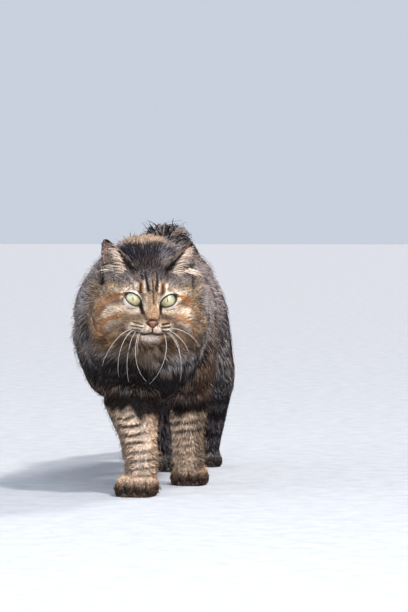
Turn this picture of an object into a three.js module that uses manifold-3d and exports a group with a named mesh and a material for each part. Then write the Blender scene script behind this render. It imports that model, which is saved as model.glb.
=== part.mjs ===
// A long-haired tabby cat in mid-stride, life size, in millimetres. +Z is up, the cat faces -Y and
// its left side is +X. Every solid is drawn out to the tips of the coat. Pieces are made in an order,
// and each one yields to those made before it, so that they meet with a thin gap and no overlap.
import * as THREE from "three";
import { mergeVertices } from "three/addons/utils/BufferGeometryUtils.js";
import Module from "manifold-3d";

const wasm = await Module();
wasm.setup();

// ---------- Driving dimensions ----------
const GAP = 0.3; // between neighbouring pieces
const AXLE = 218; // height of the trunk's widest line
const WITHERS = 314; // height of the coat over the shoulders
const BACK = 303; // and over the loins
const RUMP = 328; // and over the hips
const BELLY = 103; // lowest fringe of the belly coat
const CHEST_HALF = 85; // half-width of the coat over the shoulders
const FLANK_HALF = 79;
const HIP_HALF = 69;
const CHEST_X = -16; // the shoulders swing to the cat's right as the right forefoot lands
const HIP_X = -15;
const ROUND = 2.2; // roundness of an oval section, 2 for an ellipse
const ARCHED = 1.65; // of the back over the shoulders
const RIDGED = 1.5; // and over the hips, where the coat meets in a ridge

const HEAD = {
  at: [11, -193, 235], // the point between the eyes
  yaw: THREE.MathUtils.degToRad(16), // turned a little to the cat's left
  roll: THREE.MathUtils.degToRad(2.5), // left ear a little lower
  length: 42, // from between the eyes back to the neck
};
const EYE = { x: 20.8, y: 7, z: 0, radius: 11 };
const NOSE = { y: -19.8, z: -27.5, half: 7.2, tall: 4.8, deep: 5 };
const EAR = {
  x: 34.5,
  y: 30,
  z: 26,
  base: 55,
  height: 49,
  cup: 15,
  thick: 1.7, // half of the wall at the root
  seat: 14, // depth of the root inside the head
  back: -4, // degrees that it leans back
  open: 26, // degrees that it opens outward
  spread: { left: 22, right: 27 }, // degrees that it leans outward
};

const FOOT = {
  half: 23,
  front: 21,
  back: 27,
  height: 26,
  sink: 2.5, // what the floor takes off the pads, as the flat sole
  toes: 4,
  lobe: 3, // how far a toe stands out of the row
};

const HAIR = { roughness: 0.9, metalness: 0 };
const COLOUR = {
  body: 0x5f544a,
  face: 0x94795f,
  leg: 0x8f7a62,
  eye: 0xb9c98a,
  nose: 0xb0604c,
};

// ---------- Shape tools ----------
const { lerp, clamp } = THREE.MathUtils;

// A closed geometry with shared vertices, as a solid for cutting and joining.
function solidFrom(geometry) {
  geometry.deleteAttribute("normal");
  geometry.deleteAttribute("uv");
  const merged = mergeVertices(geometry, 1e-4);
  return new wasm.Manifold(
    new wasm.Mesh({
      numProp: 3,
      vertProperties: merged.getAttribute("position").array,
      triVerts: new Uint32Array(merged.index.array),
    }),
  );
}

function geometryFrom(solid) {
  const mesh = solid.getMesh();
  const geometry = new THREE.BufferGeometry();
  geometry.setAttribute(
    "position",
    new THREE.BufferAttribute(mesh.vertProperties, mesh.numProp),
  );
  geometry.setIndex(new THREE.BufferAttribute(mesh.triVerts, 1));
  return geometry;
}

// Moves every vertex of a unit sphere to where shape() puts it.
function warpedSphere(around, along, shape) {
  const geometry = new THREE.SphereGeometry(1, around, along);
  const position = geometry.getAttribute("position");
  const point = new THREE.Vector3();
  for (let i = 0; i < position.count; i++) {
    shape(point.fromBufferAttribute(position, i));
    position.setXYZ(i, point.x, point.y, point.z);
  }
  return geometry;
}

// A curve through each station's own numbers.
function curveOf(stations, pick) {
  const points = stations.map((s) => new THREE.Vector3(...pick(s)));
  return new THREE.CatmullRomCurve3(points, false, "catmullrom", 0.5);
}

// 1 along the middle, falling to 0 at both ends as a round end does. t runs from 0 to 1.
function roundedEnds(t, [first, last]) {
  const near = Math.min(t / first, (1 - t) / last, 1);
  return Math.sqrt(1 - (1 - near) ** 2);
}

// A closed body with oval sections along a smooth spine. A station is [x, y, z, side, over, under]:
// a point on the spine and the section's half-width and its reach to either side of the spine.
// "over" is upwards on what runs back along +Y, and backwards on what runs down along -Z. A
// seventh number makes the section's upper half rounder or more ridged.
function loft(stations, options, grow = 0) {
  const { around, along, ends } = options;
  const spine = curveOf(stations, (s) => s.slice(0, 3));
  const sizes = curveOf(stations, (s) => s.slice(3, 6));
  const crowns = curveOf(stations, (s) => [s[6] ?? ROUND, 0, 0]);
  return warpedSphere(around, along, (p) => {
    const polar = Math.acos(clamp(p.y, -1, 1));
    const t = lerp(polar / Math.PI, (1 - Math.cos(polar)) / 2, 0.5);
    const ring = Math.max(Math.hypot(p.x, p.z), 1e-9);
    const across = p.x / ring;
    const upward = p.z / ring;
    const size = sizes.getPoint(t).addScalar(grow);
    const round = ring < 1e-6 ? 0 : roundedEnds(t, ends);
    const tangent = spine.getTangent(t);
    const side = new THREE.Vector3(1, 0, 0).projectOnPlane(tangent).normalize();
    const over = side.clone().cross(tangent);
    const [reach, power] = upward > 0 ? [size.y, 2 / crowns.getPoint(t).x] : [size.z, 2 / ROUND];
    p.copy(spine.getPoint(t));
    p.addScaledVector(side, -Math.sign(across) * Math.abs(across) ** power * size.x * round);
    p.addScaledVector(over, Math.sign(upward) * Math.abs(upward) ** power * reach * round);
    p.addScaledVector(tangent, -grow * Math.cos(polar));
  });
}

// How far p lies outside an oval ball, roughly in millimetres.
function outsideBall(p, ball, grow) {
  const [x, y, z] = ball.at;
  const [a, b, c] = ball.radii;
  const scaled = Math.hypot(
    (p.x - x) / (a + grow),
    (p.y - y) / (b + grow),
    (p.z - z) / (c + grow),
  );
  return (scaled - 1) * Math.min(a, b, c);
}

// A closed skin drawn over oval balls that melt into each other, as seen from one inner point.
// The grid is finer to the front by the share "favour".
function meltedBalls(balls, centre, { around, along, melt, favour }, grow = 0) {
  const from = new THREE.Vector3(...centre);
  const probe = new THREE.Vector3();
  const outside = (p) =>
    -melt * Math.log(balls.reduce((sum, b) => sum + Math.exp(-outsideBall(p, b, grow) / melt), 0));
  const farthest = 130;
  const stepSize = 1.5;
  return warpedSphere(around, along, (p) => {
    const turn = Math.atan2(p.x, p.z);
    const ring = Math.hypot(p.x, p.z);
    const finer = turn - favour * Math.sin(turn);
    const ray = new THREE.Vector3(ring * Math.sin(finer), -ring * Math.cos(finer), p.y);
    let reach = farthest;
    while (reach > 0 && outside(probe.copy(from).addScaledVector(ray, reach)) > 0) reach -= stepSize;
    let [inner, outer] = [reach, reach + stepSize];
    for (let i = 0; i < 12; i++) {
      const middle = (inner + outer) / 2;
      if (outside(probe.copy(from).addScaledVector(ray, middle)) > 0) outer = middle;
      else inner = middle;
    }
    p.copy(from).addScaledVector(ray, inner);
  });
}

// ---------- Head, in its own frame: origin between the eyes, facing -Y ----------
const mirror = (ball) => [ball, { ...ball, at: [-ball.at[0], ball.at[1], ball.at[2]] }];

const HEAD_BALLS = [
  { at: [0, 42, 2], radii: [44, 44, 37] }, // brain case with its short coat
  { at: [0, 17, 12], radii: [24, 20, 17] }, // brow
  { at: [0, -1, -11], radii: [9, 16, 15] }, // bridge of the nose
  { at: [0, -7, -23], radii: [9, 11, 9] }, // tip of the nose
  ...mirror({ at: [25, 17, -19], radii: [21, 16, 15] }), // cheekbones
  ...mirror({ at: [9, -5, -33], radii: [12, 12, 9] }), // whisker pads
  { at: [0, 4, -44], radii: [12, 12, 9] }, // chin
  { at: [0, 24, -34], radii: [32, 26, 20] }, // jaws
  ...mirror({ at: [41, 33, -24], radii: [28, 22, 28] }), // cheek ruffs
  ...mirror({ at: [36, 38, 14], radii: [21, 20, 23] }), // seats of the ears
];
// The hollow that an eye looks out of, slanted down to the nose.
const SOCKET = { x: 21.5, y: -3, z: 0.5, radii: [13, 8.5, 9.5], slant: -22 };

const headGrid = { around: 32, along: 23, melt: 4.2, favour: 0.42 };

// The head stops where the neck takes over.
function headBody(grow) {
  const face = solidFrom(meltedBalls(HEAD_BALLS, [0, 10, -16], headGrid, grow));
  const behind = new THREE.BoxGeometry(300, 100, 300).translate(0, HEAD.length + 50 + grow, 0);
  const sockets = [1, -1].map((side) =>
    solidFrom(
      new THREE.SphereGeometry(1, 10, 6)
        .scale(...SOCKET.radii.map((r) => r - grow))
        .rotateY(THREE.MathUtils.degToRad(side * SOCKET.slant))
        .translate(side * SOCKET.x, SOCKET.y, SOCKET.z),
    ),
  );
  return face.subtract(solidFrom(behind)).subtract(sockets[0]).subtract(sockets[1]);
}

const eyeball = (side) => (grow) =>
  solidFrom(
    new THREE.SphereGeometry(EYE.radius + grow, 12, 7).translate(side * EYE.x, EYE.y, EYE.z),
  );

// The nose leather is a rounded wedge, wide above and narrow at the lip.
const noseLeather = (grow) =>
  solidFrom(
    warpedSphere(10, 7, (p) => {
      const wide = lerp(0.45, 1, clamp((p.z + 1) / 1.5, 0, 1));
      p.x *= (NOSE.half + grow) * wide;
      p.y = NOSE.y + p.y * (NOSE.deep + grow);
      p.z = NOSE.z + p.z * (NOSE.tall + grow);
    }),
  );

// The outer ear is a leaf, wide at the root and pointed at the tip, cupped so that it opens forward.
const ear = (side, spread) => (grow) => {
  const { base, height, seat, cup, thick } = EAR;
  const leaf = warpedSphere(14, 9, (p) => {
    const up = (p.y + 1) / 2;
    const ring = Math.max(Math.hypot(p.x, p.z), 1e-9);
    const across = p.x / ring;
    const root = Math.sqrt(1 - (1 - Math.min(up / 0.12, 1)) ** 2);
    const half = (base / 2) * (1 - up) ** 0.62 + grow;
    const sideways = across * half * root;
    const hollow = cup * (1 - up) ** 0.8 * (1 - (sideways / Math.max(half, 1e-9)) ** 2);
    const tip = Math.min(1, 4 * (1 - up));
    const wall = (p.z / ring) * (thick * (1 - 0.4 * up) + 2 * grow) * tip * root;
    p.set(sideways, hollow - wall, up * (height + seat + 2 * grow) - seat - grow);
  });
  return solidFrom(
    leaf
      .rotateX(THREE.MathUtils.degToRad(EAR.back))
      .rotateZ(THREE.MathUtils.degToRad(side * EAR.open))
      .rotateY(THREE.MathUtils.degToRad(side * spread))
      .translate(side * EAR.x, EAR.y, EAR.z),
  );
};

// ---------- Legs ----------
// A foot runs back along +Y from its toes. Toes swell the front in a row of low lobes.
function foot({ x, y, turn = 0, size = 1, lift = 0 }, grow) {
  const { half, front, back, height, sink, toes, lobe } = FOOT;
  const low = 8; // height of the spine over the pads
  const stations = [
    [0, -front - 4, low, 9, 5, low],
    [0, -front + 2, low, half * 0.82, height * 0.4, low + 2],
    [0, -front * 0.3, low + 1, half, height * 0.62, low + 4],
    [0, back * 0.2, low + 2, half * 0.96, height * 0.78, low + 5],
    [0, back * 0.65, low + 3 + lift * 0.4, half * 0.82, height * 0.78, low + 4],
    [0, back, low + 3 + lift, half * 0.62, height * 0.6, low + 2],
  ];
  const body = loft(stations, { around: 16, along: 9, ends: [0.14, 0.3] }, grow);
  const position = body.getAttribute("position");
  const toeWidth = (2 * half) / toes;
  for (let i = 0; i < position.count; i++) {
    const forward = clamp(-position.getY(i) / front, 0, 1);
    const swell = Math.abs(Math.sin((Math.PI * position.getX(i)) / toeWidth));
    position.setY(i, position.getY(i) - forward * lobe * (swell - 0.5));
  }
  return body
    .scale(size, size, size)
    .rotateZ(THREE.MathUtils.degToRad(turn))
    .translate(x, y, -sink);
}

const belowFloor = solidFrom(new THREE.BoxGeometry(2000, 2000, 100).translate(0, 0, -50));
const footOnFloor = (place) => (grow) =>
  solidFrom(foot(place, grow)).subtract(belowFloor);

const limb = (stations, options) => (grow) => solidFrom(loft(stations, options, grow));
const slim = { around: 12, along: 8, ends: [0.2, 0.12] };
const stout = { around: 12, along: 8, ends: [0.28, 0.25] };

// The right foreleg reaches forward and has just landed.
const FORE_RIGHT = {
  paw: { x: -9, y: -171, turn: -4, size: 1.16 },
  forearm: [
    [-36, -96, 141, 33, 32, 28],
    [-28, -108, 118, 34, 33, 29],
    [-19, -126, 96, 30.5, 27, 25],
    [-13, -142, 74, 24, 22, 21],
    [-8, -155, 52, 21, 20, 20],
    [-4, -163, 32, 18.5, 19, 19],
    [-5, -167, 6, 17, 18, 17],
  ],
  arm: [
    [-58, -66, 234, 30, 38, 34],
    [-67, -76, 207, 34, 46, 42],
    [-57, -84, 170, 34, 46, 44],
    [-44, -92, 138, 32, 40, 38],
    [-36, -98, 122, 24, 30, 28],
  ],
};

// The left foreleg carries the weight and is passing under the shoulder.
const FORE_LEFT = {
  paw: { x: 34, y: -17, turn: 4, size: 1.06 },
  forearm: [
    [38, -48, 141, 28, 33, 30],
    [37, -44, 118, 29, 32, 29],
    [34, -37, 92, 25, 26, 25],
    [33, -31, 68, 20.5, 21, 21],
    [33, -25, 46, 18.5, 19, 20],
    [33.5, -18, 28, 18.5, 18, 19],
    [34, -13, 6, 17, 17, 17],
  ],
  arm: [
    [33, -62, 234, 28, 38, 34],
    [40, -66, 207, 31, 46, 42],
    [42, -62, 170, 29, 46, 42],
    [41, -54, 138, 27, 38, 36],
    [40, -50, 122, 22, 28, 28],
  ],
};

// The right hind leg is in mid-stance.
const HIND_RIGHT = {
  paw: { x: -27, y: 172, turn: -3, size: 0.92 },
  shank: [
    [-51, 134, 150, 27, 34, 34],
    [-47, 156, 126, 25, 32, 30],
    [-41, 182, 98, 20, 27, 24],
    [-36, 196, 76, 16, 21, 19],
    [-32, 191, 54, 15.5, 17, 17],
    [-29, 182, 32, 15.5, 16, 16],
    [-27, 175, 6, 15, 15, 15],
  ],
  thigh: [
    [-50, 156, 266, 22, 40, 34],
    [-57, 156, 234, 32, 54, 50],
    [-61, 154, 200, 34, 60, 54],
    [-60, 152, 164, 32, 56, 48],
    [-54, 150, 132, 27, 42, 36],
  ],
};

// The left hind leg is about to leave the floor: the heel is high and the toes still rest.
const HIND_LEFT = {
  paw: { x: 22, y: 251, turn: 3, size: 0.9, lift: 8 },
  shank: [
    [43, 152, 150, 24, 30, 28],
    [42, 180, 130, 25, 36, 30],
    [40, 212, 110, 21, 32, 26],
    [36, 238, 88, 17, 23, 22],
    [31, 248, 62, 15.5, 17, 18],
    [26, 252, 38, 15.5, 16, 17],
    [22, 255, 8, 15, 15, 16],
  ],
  thigh: [
    [20, 150, 268, 22, 40, 34],
    [29, 156, 236, 30, 54, 50],
    [35, 160, 200, 32, 60, 54],
    [39, 166, 164, 31, 58, 48],
    [44, 178, 130, 30, 46, 40],
    [45, 188, 106, 25, 30, 26],
  ],
};

// ---------- Trunk, neck and tail ----------
// A trunk station from the heights of the back and belly lines.
const trunkStation = (y, top, bottom, half, x, crown) => [
  x,
  y,
  AXLE,
  half,
  top - AXLE,
  AXLE - bottom,
  crown,
];

// From the throat back to the rump.
const BODY = [
  trunkStation(-174, 252, 178, 42, 7, ROUND),
  trunkStation(-156, 280, 156, 63, 3, ROUND),
  trunkStation(-132, 297, 134, 76, -4, ROUND),
  trunkStation(-104, WITHERS - 7, 119, CHEST_HALF - 3, -11, ARCHED),
  trunkStation(-70, WITHERS - 2, 111, CHEST_HALF, CHEST_X, ARCHED),
  trunkStation(-34, WITHERS, 107, CHEST_HALF, CHEST_X, ARCHED),
  trunkStation(8, WITHERS - 8, BELLY + 1, CHEST_HALF - 2, CHEST_X + 1, ARCHED),
  trunkStation(56, BACK, BELLY, FLANK_HALF, CHEST_X + 3, ARCHED),
  trunkStation(106, BACK + 10, BELLY + 14, FLANK_HALF - 4, HIP_X, ARCHED - 0.2),
  trunkStation(152, RUMP, 132, HIP_HALF + 4, HIP_X, RIDGED),
  trunkStation(192, RUMP - 6, 160, HIP_HALF - 8, HIP_X, RIDGED),
  trunkStation(224, RUMP - 34, 196, HIP_HALF - 28, HIP_X, ARCHED),
];
const COLLAR = { y: -88, lean: -14 }; // where the neck ends and the trunk begins

const TAIL = [
  [HIP_X, 200, 292, 24, 26, 24],
  [HIP_X, 238, 276, 30, 30, 30],
  [HIP_X + 1, 286, 238, 34, 33, 36],
  [HIP_X + 3, 334, 196, 37, 35, 40],
  [HIP_X + 5, 384, 162, 37, 35, 40],
  [HIP_X + 8, 430, 150, 32, 31, 33],
  [HIP_X + 11, 466, 157, 22, 21, 22],
  [HIP_X + 13, 488, 168, 11, 11, 11],
];

// ---------- Assembly: each piece yields to those made before it ----------
const headGroup = new THREE.Group();
headGroup.position.set(...HEAD.at);
headGroup.rotation.set(0, HEAD.roll, HEAD.yaw, "ZYX");
headGroup.updateMatrix();
const headMatrix = headGroup.matrix;
const headInverse = headMatrix.clone().invert();

const made = []; // each piece so far with the gap around it, in the cat's frame

// shape(grow) gives the piece in the cat's frame. What is left of it falls into one body or more,
// by volume, the largest first.
function carve(shape, cutters = []) {
  let solid = shape(0);
  for (const other of [...made, ...cutters]) solid = solid.subtract(other);
  made.push(shape(GAP).add(shape(0)));
  return solid.decompose().sort((a, b) => b.volume() - a.volume());
}

function meshOf(name, solid, colour, matrix) {
  const geometry = geometryFrom(solid);
  if (matrix) geometry.applyMatrix4(matrix);
  const material = new THREE.MeshStandardMaterial({ color: colour, ...HAIR });
  const mesh = new THREE.Mesh(geometry, material);
  mesh.name = name;
  return mesh;
}

const cat = new THREE.Group();

function addPiece(name, shape, colour) {
  cat.add(meshOf(name, carve(shape)[0], colour));
}

// A piece drawn in the head's frame is cut in the cat's frame and put back.
function addHeadPiece(name, shape, colour) {
  const inCat = (grow) => shape(grow).transform(headMatrix.elements);
  headGroup.add(meshOf(name, carve(inCat)[0], colour, headInverse));
}

// A thin slab that parts a long body where one length ends and the next begins.
function slabAt(point, along) {
  const turn = new THREE.Quaternion().setFromUnitVectors(new THREE.Vector3(0, 0, 1), along);
  const slab = new THREE.BoxGeometry(400, 400, GAP).applyQuaternion(turn).translate(...point);
  return solidFrom(slab);
}

// Parts a shape by slabs and adds its lengths, named from front to back.
function addLengths(names, shape, slabs, colour) {
  const lengths = carve(shape, slabs).slice(0, names.length);
  lengths.sort((a, b) => a.boundingBox().min[1] - b.boundingBox().min[1]);
  names.forEach((name, i) => cat.add(meshOf(name, lengths[i], colour)));
}

addHeadPiece("eye_left", eyeball(1), COLOUR.eye);
addHeadPiece("eye_right", eyeball(-1), COLOUR.eye);
addHeadPiece("nose", noseLeather, COLOUR.nose);
addHeadPiece("head", headBody, COLOUR.face);
addHeadPiece("ear_left", ear(1, EAR.spread.left), COLOUR.face);
addHeadPiece("ear_right", ear(-1, EAR.spread.right), COLOUR.face);
cat.add(headGroup);

for (const [side, leg] of [["left", FORE_LEFT], ["right", FORE_RIGHT]]) {
  addPiece(`forepaw_${side}`, footOnFloor(leg.paw), COLOUR.leg);
  addPiece(`forearm_${side}`, limb(leg.forearm, slim), COLOUR.leg);
  addPiece(`upper_arm_${side}`, limb(leg.arm, stout), COLOUR.body);
}
for (const [side, leg] of [["left", HIND_LEFT], ["right", HIND_RIGHT]]) {
  addPiece(`hind_paw_${side}`, footOnFloor(leg.paw), COLOUR.leg);
  addPiece(`shank_${side}`, limb(leg.shank, slim), COLOUR.leg);
  addPiece(`thigh_${side}`, limb(leg.thigh, stout), COLOUR.body);
}

const bodyGrid = { around: 22, along: 20, ends: [0.1, 0.14] };
const lean = new THREE.Vector3(0, 1, 0).applyAxisAngle(
  new THREE.Vector3(1, 0, 0),
  THREE.MathUtils.degToRad(COLLAR.lean),
);
const collar = slabAt([0, COLLAR.y, BACK], lean);
addLengths(["neck", "trunk"], limb(BODY, bodyGrid), [collar], COLOUR.body);

const tailSpine = curveOf(TAIL, (s) => s.slice(0, 3));
const tailSlabs = [0.36, 0.68].map((t) => slabAt(tailSpine.getPoint(t), tailSpine.getTangent(t)));
const tailGrid = { around: 12, along: 14, ends: [0.08, 0.12] };
addLengths(["tail_root", "tail_middle", "tail_tip"], limb(TAIL, tailGrid), tailSlabs, COLOUR.body);

// ---------- The origin is on the floor, under the middle of the cat's box ----------
const box = new THREE.Box3().setFromObject(cat, true);
const middle = box.getCenter(new THREE.Vector3());
cat.position.set(-middle.x, -middle.y, -box.min.z);

export default cat;
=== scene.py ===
# %% [markdown]
# # A long-haired tabby cat, walking
# A still, life-size model. The solids of the frame give the cat's outline out to the tips of its
# coat. This lesson lays one skin inside them, covers it with locks of hair, and then makes the
# eyes, the nose and the whiskers.

import math

import bmesh
import bpy
import numpy as np
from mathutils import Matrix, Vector
from mathutils.bvhtree import BVHTree
from mathutils.kdtree import KDTree


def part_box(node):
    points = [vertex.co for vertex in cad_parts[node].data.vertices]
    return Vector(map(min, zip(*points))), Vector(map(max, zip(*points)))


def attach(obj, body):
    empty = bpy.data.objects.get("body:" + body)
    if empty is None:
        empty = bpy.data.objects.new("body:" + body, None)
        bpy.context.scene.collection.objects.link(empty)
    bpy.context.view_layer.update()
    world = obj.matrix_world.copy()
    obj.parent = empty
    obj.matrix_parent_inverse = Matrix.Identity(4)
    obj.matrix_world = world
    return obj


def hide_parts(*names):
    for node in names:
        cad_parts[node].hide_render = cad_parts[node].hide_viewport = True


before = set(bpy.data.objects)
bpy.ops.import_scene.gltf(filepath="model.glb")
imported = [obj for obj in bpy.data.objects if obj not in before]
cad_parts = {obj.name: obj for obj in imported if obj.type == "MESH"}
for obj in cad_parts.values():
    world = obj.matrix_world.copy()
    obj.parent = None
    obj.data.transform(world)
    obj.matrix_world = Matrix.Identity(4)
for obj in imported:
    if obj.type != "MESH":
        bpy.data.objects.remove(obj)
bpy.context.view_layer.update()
MM = 0.001

# %% [markdown]
# Everything on the face is placed from the middle between the two eyes. The head is turned and
# tilted a little, so it gets a frame of its own: x to the cat's left, y to the back, z up.
# Lengths in the head's frame are in millimetres.


# %% The head's own frame
def middle_of(node):
    low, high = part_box(node)
    return np.array((low + high) / 2)


EYE_DEPTH = 7.0  # the eyeball's middle lies this far behind the head's origin
eye_middle = {side: middle_of("eye_" + side) for side in ("left", "right")}
head_x = eye_middle["left"] - eye_middle["right"]
EYE_APART = np.linalg.norm(head_x) / MM
head_x /= np.linalg.norm(head_x)
head_y = np.array([-head_x[1], head_x[0], 0.0])
head_y /= np.linalg.norm(head_y)
head_z = np.cross(head_x, head_y)
HEAD_AXES = np.array([head_x, head_y, head_z])
head_origin = (eye_middle["left"] + eye_middle["right"]) / 2 - head_y * EYE_DEPTH * MM


def to_head(points):
    return (np.asarray(points) - head_origin) @ HEAD_AXES.T / MM


def from_head(points):
    return head_origin + (np.asarray(points) * MM) @ HEAD_AXES


print("eyes apart:", round(EYE_APART, 1), "mm")

# %% [markdown]
# The camera comes early, because the cat looks straight at it. It stands at the height of the
# cat's back, a few metres in front and a little to the cat's left, and looks slightly down
# through a long lens.

# %% Camera
CAMERA_AWAY = 3.5
CAMERA_TURN = math.radians(7.25)
CAMERA_HEIGHT = 0.336
CAMERA_DOWN = math.radians(1.77)
CAMERA_LENS = 172.9
FACE_ASIDE = 0.0639  # the face stands this far left of the middle of the view
camera_right = np.array([math.cos(CAMERA_TURN), math.sin(CAMERA_TURN), 0.0])
camera_ahead = np.array([-math.sin(CAMERA_TURN), math.cos(CAMERA_TURN), 0.0])
between_eyes = (eye_middle["left"] + eye_middle["right"]) / 2
camera_at = between_eyes - camera_ahead * CAMERA_AWAY + camera_right * FACE_ASIDE
camera_at[2] = CAMERA_HEIGHT

camera_data = bpy.data.cameras.new("camera")
camera_data.lens = CAMERA_LENS
camera_data.sensor_width = 36.0
camera = bpy.data.objects.new("camera", camera_data)
bpy.context.scene.collection.objects.link(camera)
bpy.context.scene.camera = camera
look = camera_ahead * math.cos(CAMERA_DOWN) + np.array([0, 0, -math.sin(CAMERA_DOWN)])
camera.location = camera_at
camera.rotation_mode = "QUATERNION"
camera.rotation_quaternion = Vector(look).to_track_quat("-Z", "Y")
print("camera at", camera_at.round(3))

# %% [markdown]
# Meshes here are made from arrays of points and faces, which is much faster in Blender than
# adding faces one by one when there are a million of them.


# %% Mesh tools
def mesh_from(name, points, faces, smooth=True):
    """A mesh object from an array of points and an array of faces, all with as many corners."""
    faces = np.asarray(faces, np.int32)
    corners = faces.shape[1]
    mesh = bpy.data.meshes.new(name)
    mesh.vertices.add(len(points))
    mesh.vertices.foreach_set("co", np.asarray(points, np.float32).ravel())
    mesh.loops.add(faces.size)
    mesh.loops.foreach_set("vertex_index", faces.ravel())
    mesh.polygons.add(len(faces))
    starts = np.arange(0, faces.size, corners, dtype=np.int32)
    mesh.polygons.foreach_set("loop_start", starts)
    mesh.polygons.foreach_set("use_smooth", np.full(len(faces), smooth))
    mesh.update(calc_edges=True)
    piece = bpy.data.objects.new(name, mesh)
    bpy.context.scene.collection.objects.link(piece)
    return piece


def add_value(piece, name, values):
    """One number for each point, which a material reads by name."""
    attribute = piece.data.attributes.new(name, "FLOAT", "POINT")
    attribute.data.foreach_set("value", np.asarray(values, np.float32))


def arrays_of(mesh):
    """The points and triangles of a mesh."""
    points = np.empty(len(mesh.vertices) * 3)
    mesh.vertices.foreach_get("co", points)
    mesh.calc_loop_triangles()
    triangles = np.empty(len(mesh.loop_triangles) * 3, np.int64)
    mesh.loop_triangles.foreach_get("vertices", triangles)
    return points.reshape(-1, 3), triangles.reshape(-1, 3)


def unit(vectors):
    return vectors / np.maximum(np.linalg.norm(vectors, axis=-1, keepdims=True), 1e-12)


def normals_of(points, triangles):
    a, b, c = (points[triangles[:, i]] for i in range(3))
    flat = np.cross(b - a, c - a)
    total = np.zeros_like(points)
    for axis in range(3):
        for corner in range(3):
            total[:, axis] += np.bincount(triangles[:, corner], flat[:, axis], len(points))
    return unit(total)


def ramp(value, low, high):
    """0 below low, 1 above high, smooth between; low may be the larger."""
    t = np.clip((value - low) / (high - low), 0, 1)
    return t * t * (3 - 2 * t)


# %% [markdown]
# ## The skin
# A real cat has one skin. The solids of flesh are swollen by half a millimetre, so that the thin
# gaps between them close, and a voxel remesh melts them into one closed surface. The eyes and the
# nose leather stay apart. A boolean union could join them too, but it leaves sharp creases where
# two solids meet and goes wrong on faces that nearly touch. A remesh is safe from both and gives
# even squares.

# %% One surface over all the flesh
NOT_FLESH = ("eye_left", "eye_right", "nose")
flesh = [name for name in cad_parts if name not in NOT_FLESH]
SWELL = 0.5 * MM
EAR_SWELL = 1.0 * MM  # the thin ears need more, so that the remesh holds them
VOXEL = 2.2 * MM

joined_points, joined_faces, face_node, count = [], [], [], 0
for index, name in enumerate(flesh):
    raw, triangles = arrays_of(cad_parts[name].data)
    _, first, back = np.unique(
        (raw / 1e-6).round().astype(np.int64), axis=0, return_index=True, return_inverse=True
    )
    triangles = back.ravel()[triangles]
    points = raw[first]
    swell = EAR_SWELL if name.startswith("ear") else SWELL
    joined_points.append(points + normals_of(points, triangles) * swell)
    joined_faces.append(triangles + count)
    face_node += [index] * len(triangles)
    count += len(points)
joined_points = np.concatenate(joined_points)
joined_faces = np.concatenate(joined_faces)
face_node = np.array(face_node)
solid_tree = BVHTree.FromPolygons(joined_points.tolist(), joined_faces.tolist())

rough = mesh_from("rough_skin", joined_points, joined_faces)
remesh = rough.modifiers.new("melt", "REMESH")
remesh.mode = "VOXEL"
remesh.voxel_size = VOXEL
melted = bpy.data.meshes.new_from_object(rough.evaluated_get(bpy.context.evaluated_depsgraph_get()))
bpy.data.objects.remove(rough)
print("melted skin:", len(melted.vertices), "points")

# %% [markdown]
# The face and the toes have folds finer than the voxels, so their squares are divided once more.


# %% Finer squares on the face and the toes
def face_share(local):
    """1 on the front of the head, falling to 0 on its sides and back."""
    x, y, z = local.T
    return ramp(np.abs(x), 42, 34) * ramp(y, 26, 18) * ramp(z, -56, -48) * ramp(z, 50, 44)


def on_toes(points):
    """True on the front half of each paw."""
    found = np.zeros(len(points), bool)
    for name in flesh:
        if "paw" in name:
            low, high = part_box(name)
            inside = (points > np.array(low) - 2 * MM) & (points < np.array(high) + 2 * MM)
            found |= inside.all(axis=1) & (points[:, 1] < (low[1] + high[1]) / 2)
    return found


work = bmesh.new()
work.from_mesh(melted)
work.verts.ensure_lookup_table()
places = np.array([v.co for v in work.verts])
here = (face_share(to_head(places)) > 0.5) | on_toes(places)
fine = [e for e in work.edges if here[e.verts[0].index] and here[e.verts[1].index]]
bmesh.ops.subdivide_edges(work, edges=fine, cuts=1, use_grid_fill=True)
work.to_mesh(melted)
work.free()
outer, triangles = arrays_of(melted)
bpy.data.meshes.remove(melted)


def neighbours_of(triangles):
    """Every edge once, as two point numbers, and how many edges meet at each point."""
    pairs = triangles[:, [0, 1, 1, 2, 2, 0]].reshape(-1, 2)
    edges = np.unique(np.sort(pairs, axis=1), axis=0)
    return edges, np.bincount(edges.ravel())


def soften(values, times, share=0.5):
    """Moves each point's value towards the mean of its neighbours', several times."""
    columns = values.reshape(len(values), -1).copy()
    for _ in range(times):
        for i in range(columns.shape[1]):
            column = columns[:, i]
            around = np.bincount(edges[:, 0], column[edges[:, 1]], len(column))
            around += np.bincount(edges[:, 1], column[edges[:, 0]], len(column))
            columns[:, i] += share * (around / ways - column)
    return columns.reshape(values.shape)


edges, ways = neighbours_of(triangles)
print("edges after the finer squares:", len(edges))

# %% [markdown]
# A remesh leaves small closed scraps inside the body, where solids met. Every point takes the
# lowest number among its neighbours again and again, until each scrap has one number of its own.
# Only the largest piece is kept.

# %% Keep the body, drop the scraps
label = np.arange(len(outer))
while True:
    lowest = label.copy()
    np.minimum.at(lowest, edges[:, 0], label[edges[:, 1]])
    np.minimum.at(lowest, edges[:, 1], label[edges[:, 0]])
    lowest = lowest[lowest]
    if (lowest == label).all():
        break
    label = lowest
islands, sizes = np.unique(label, return_counts=True)
body_label = islands[sizes.argmax()]
print("skin:", len(outer), "points,", len(triangles), "triangles,", len(islands), "islands")
if len(islands) > 1:
    keep = label == body_label
    renumber = np.cumsum(keep) - 1
    triangles = renumber[triangles[keep[triangles[:, 0]]]]
    outer = outer[keep]
    edges, ways = neighbours_of(triangles)

# %% [markdown]
# Where the rump meets the tail the two solids leave a notch across the top. The skin bridges it.
# Above each paw the skin runs smoothly from the leg into the paw.

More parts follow.
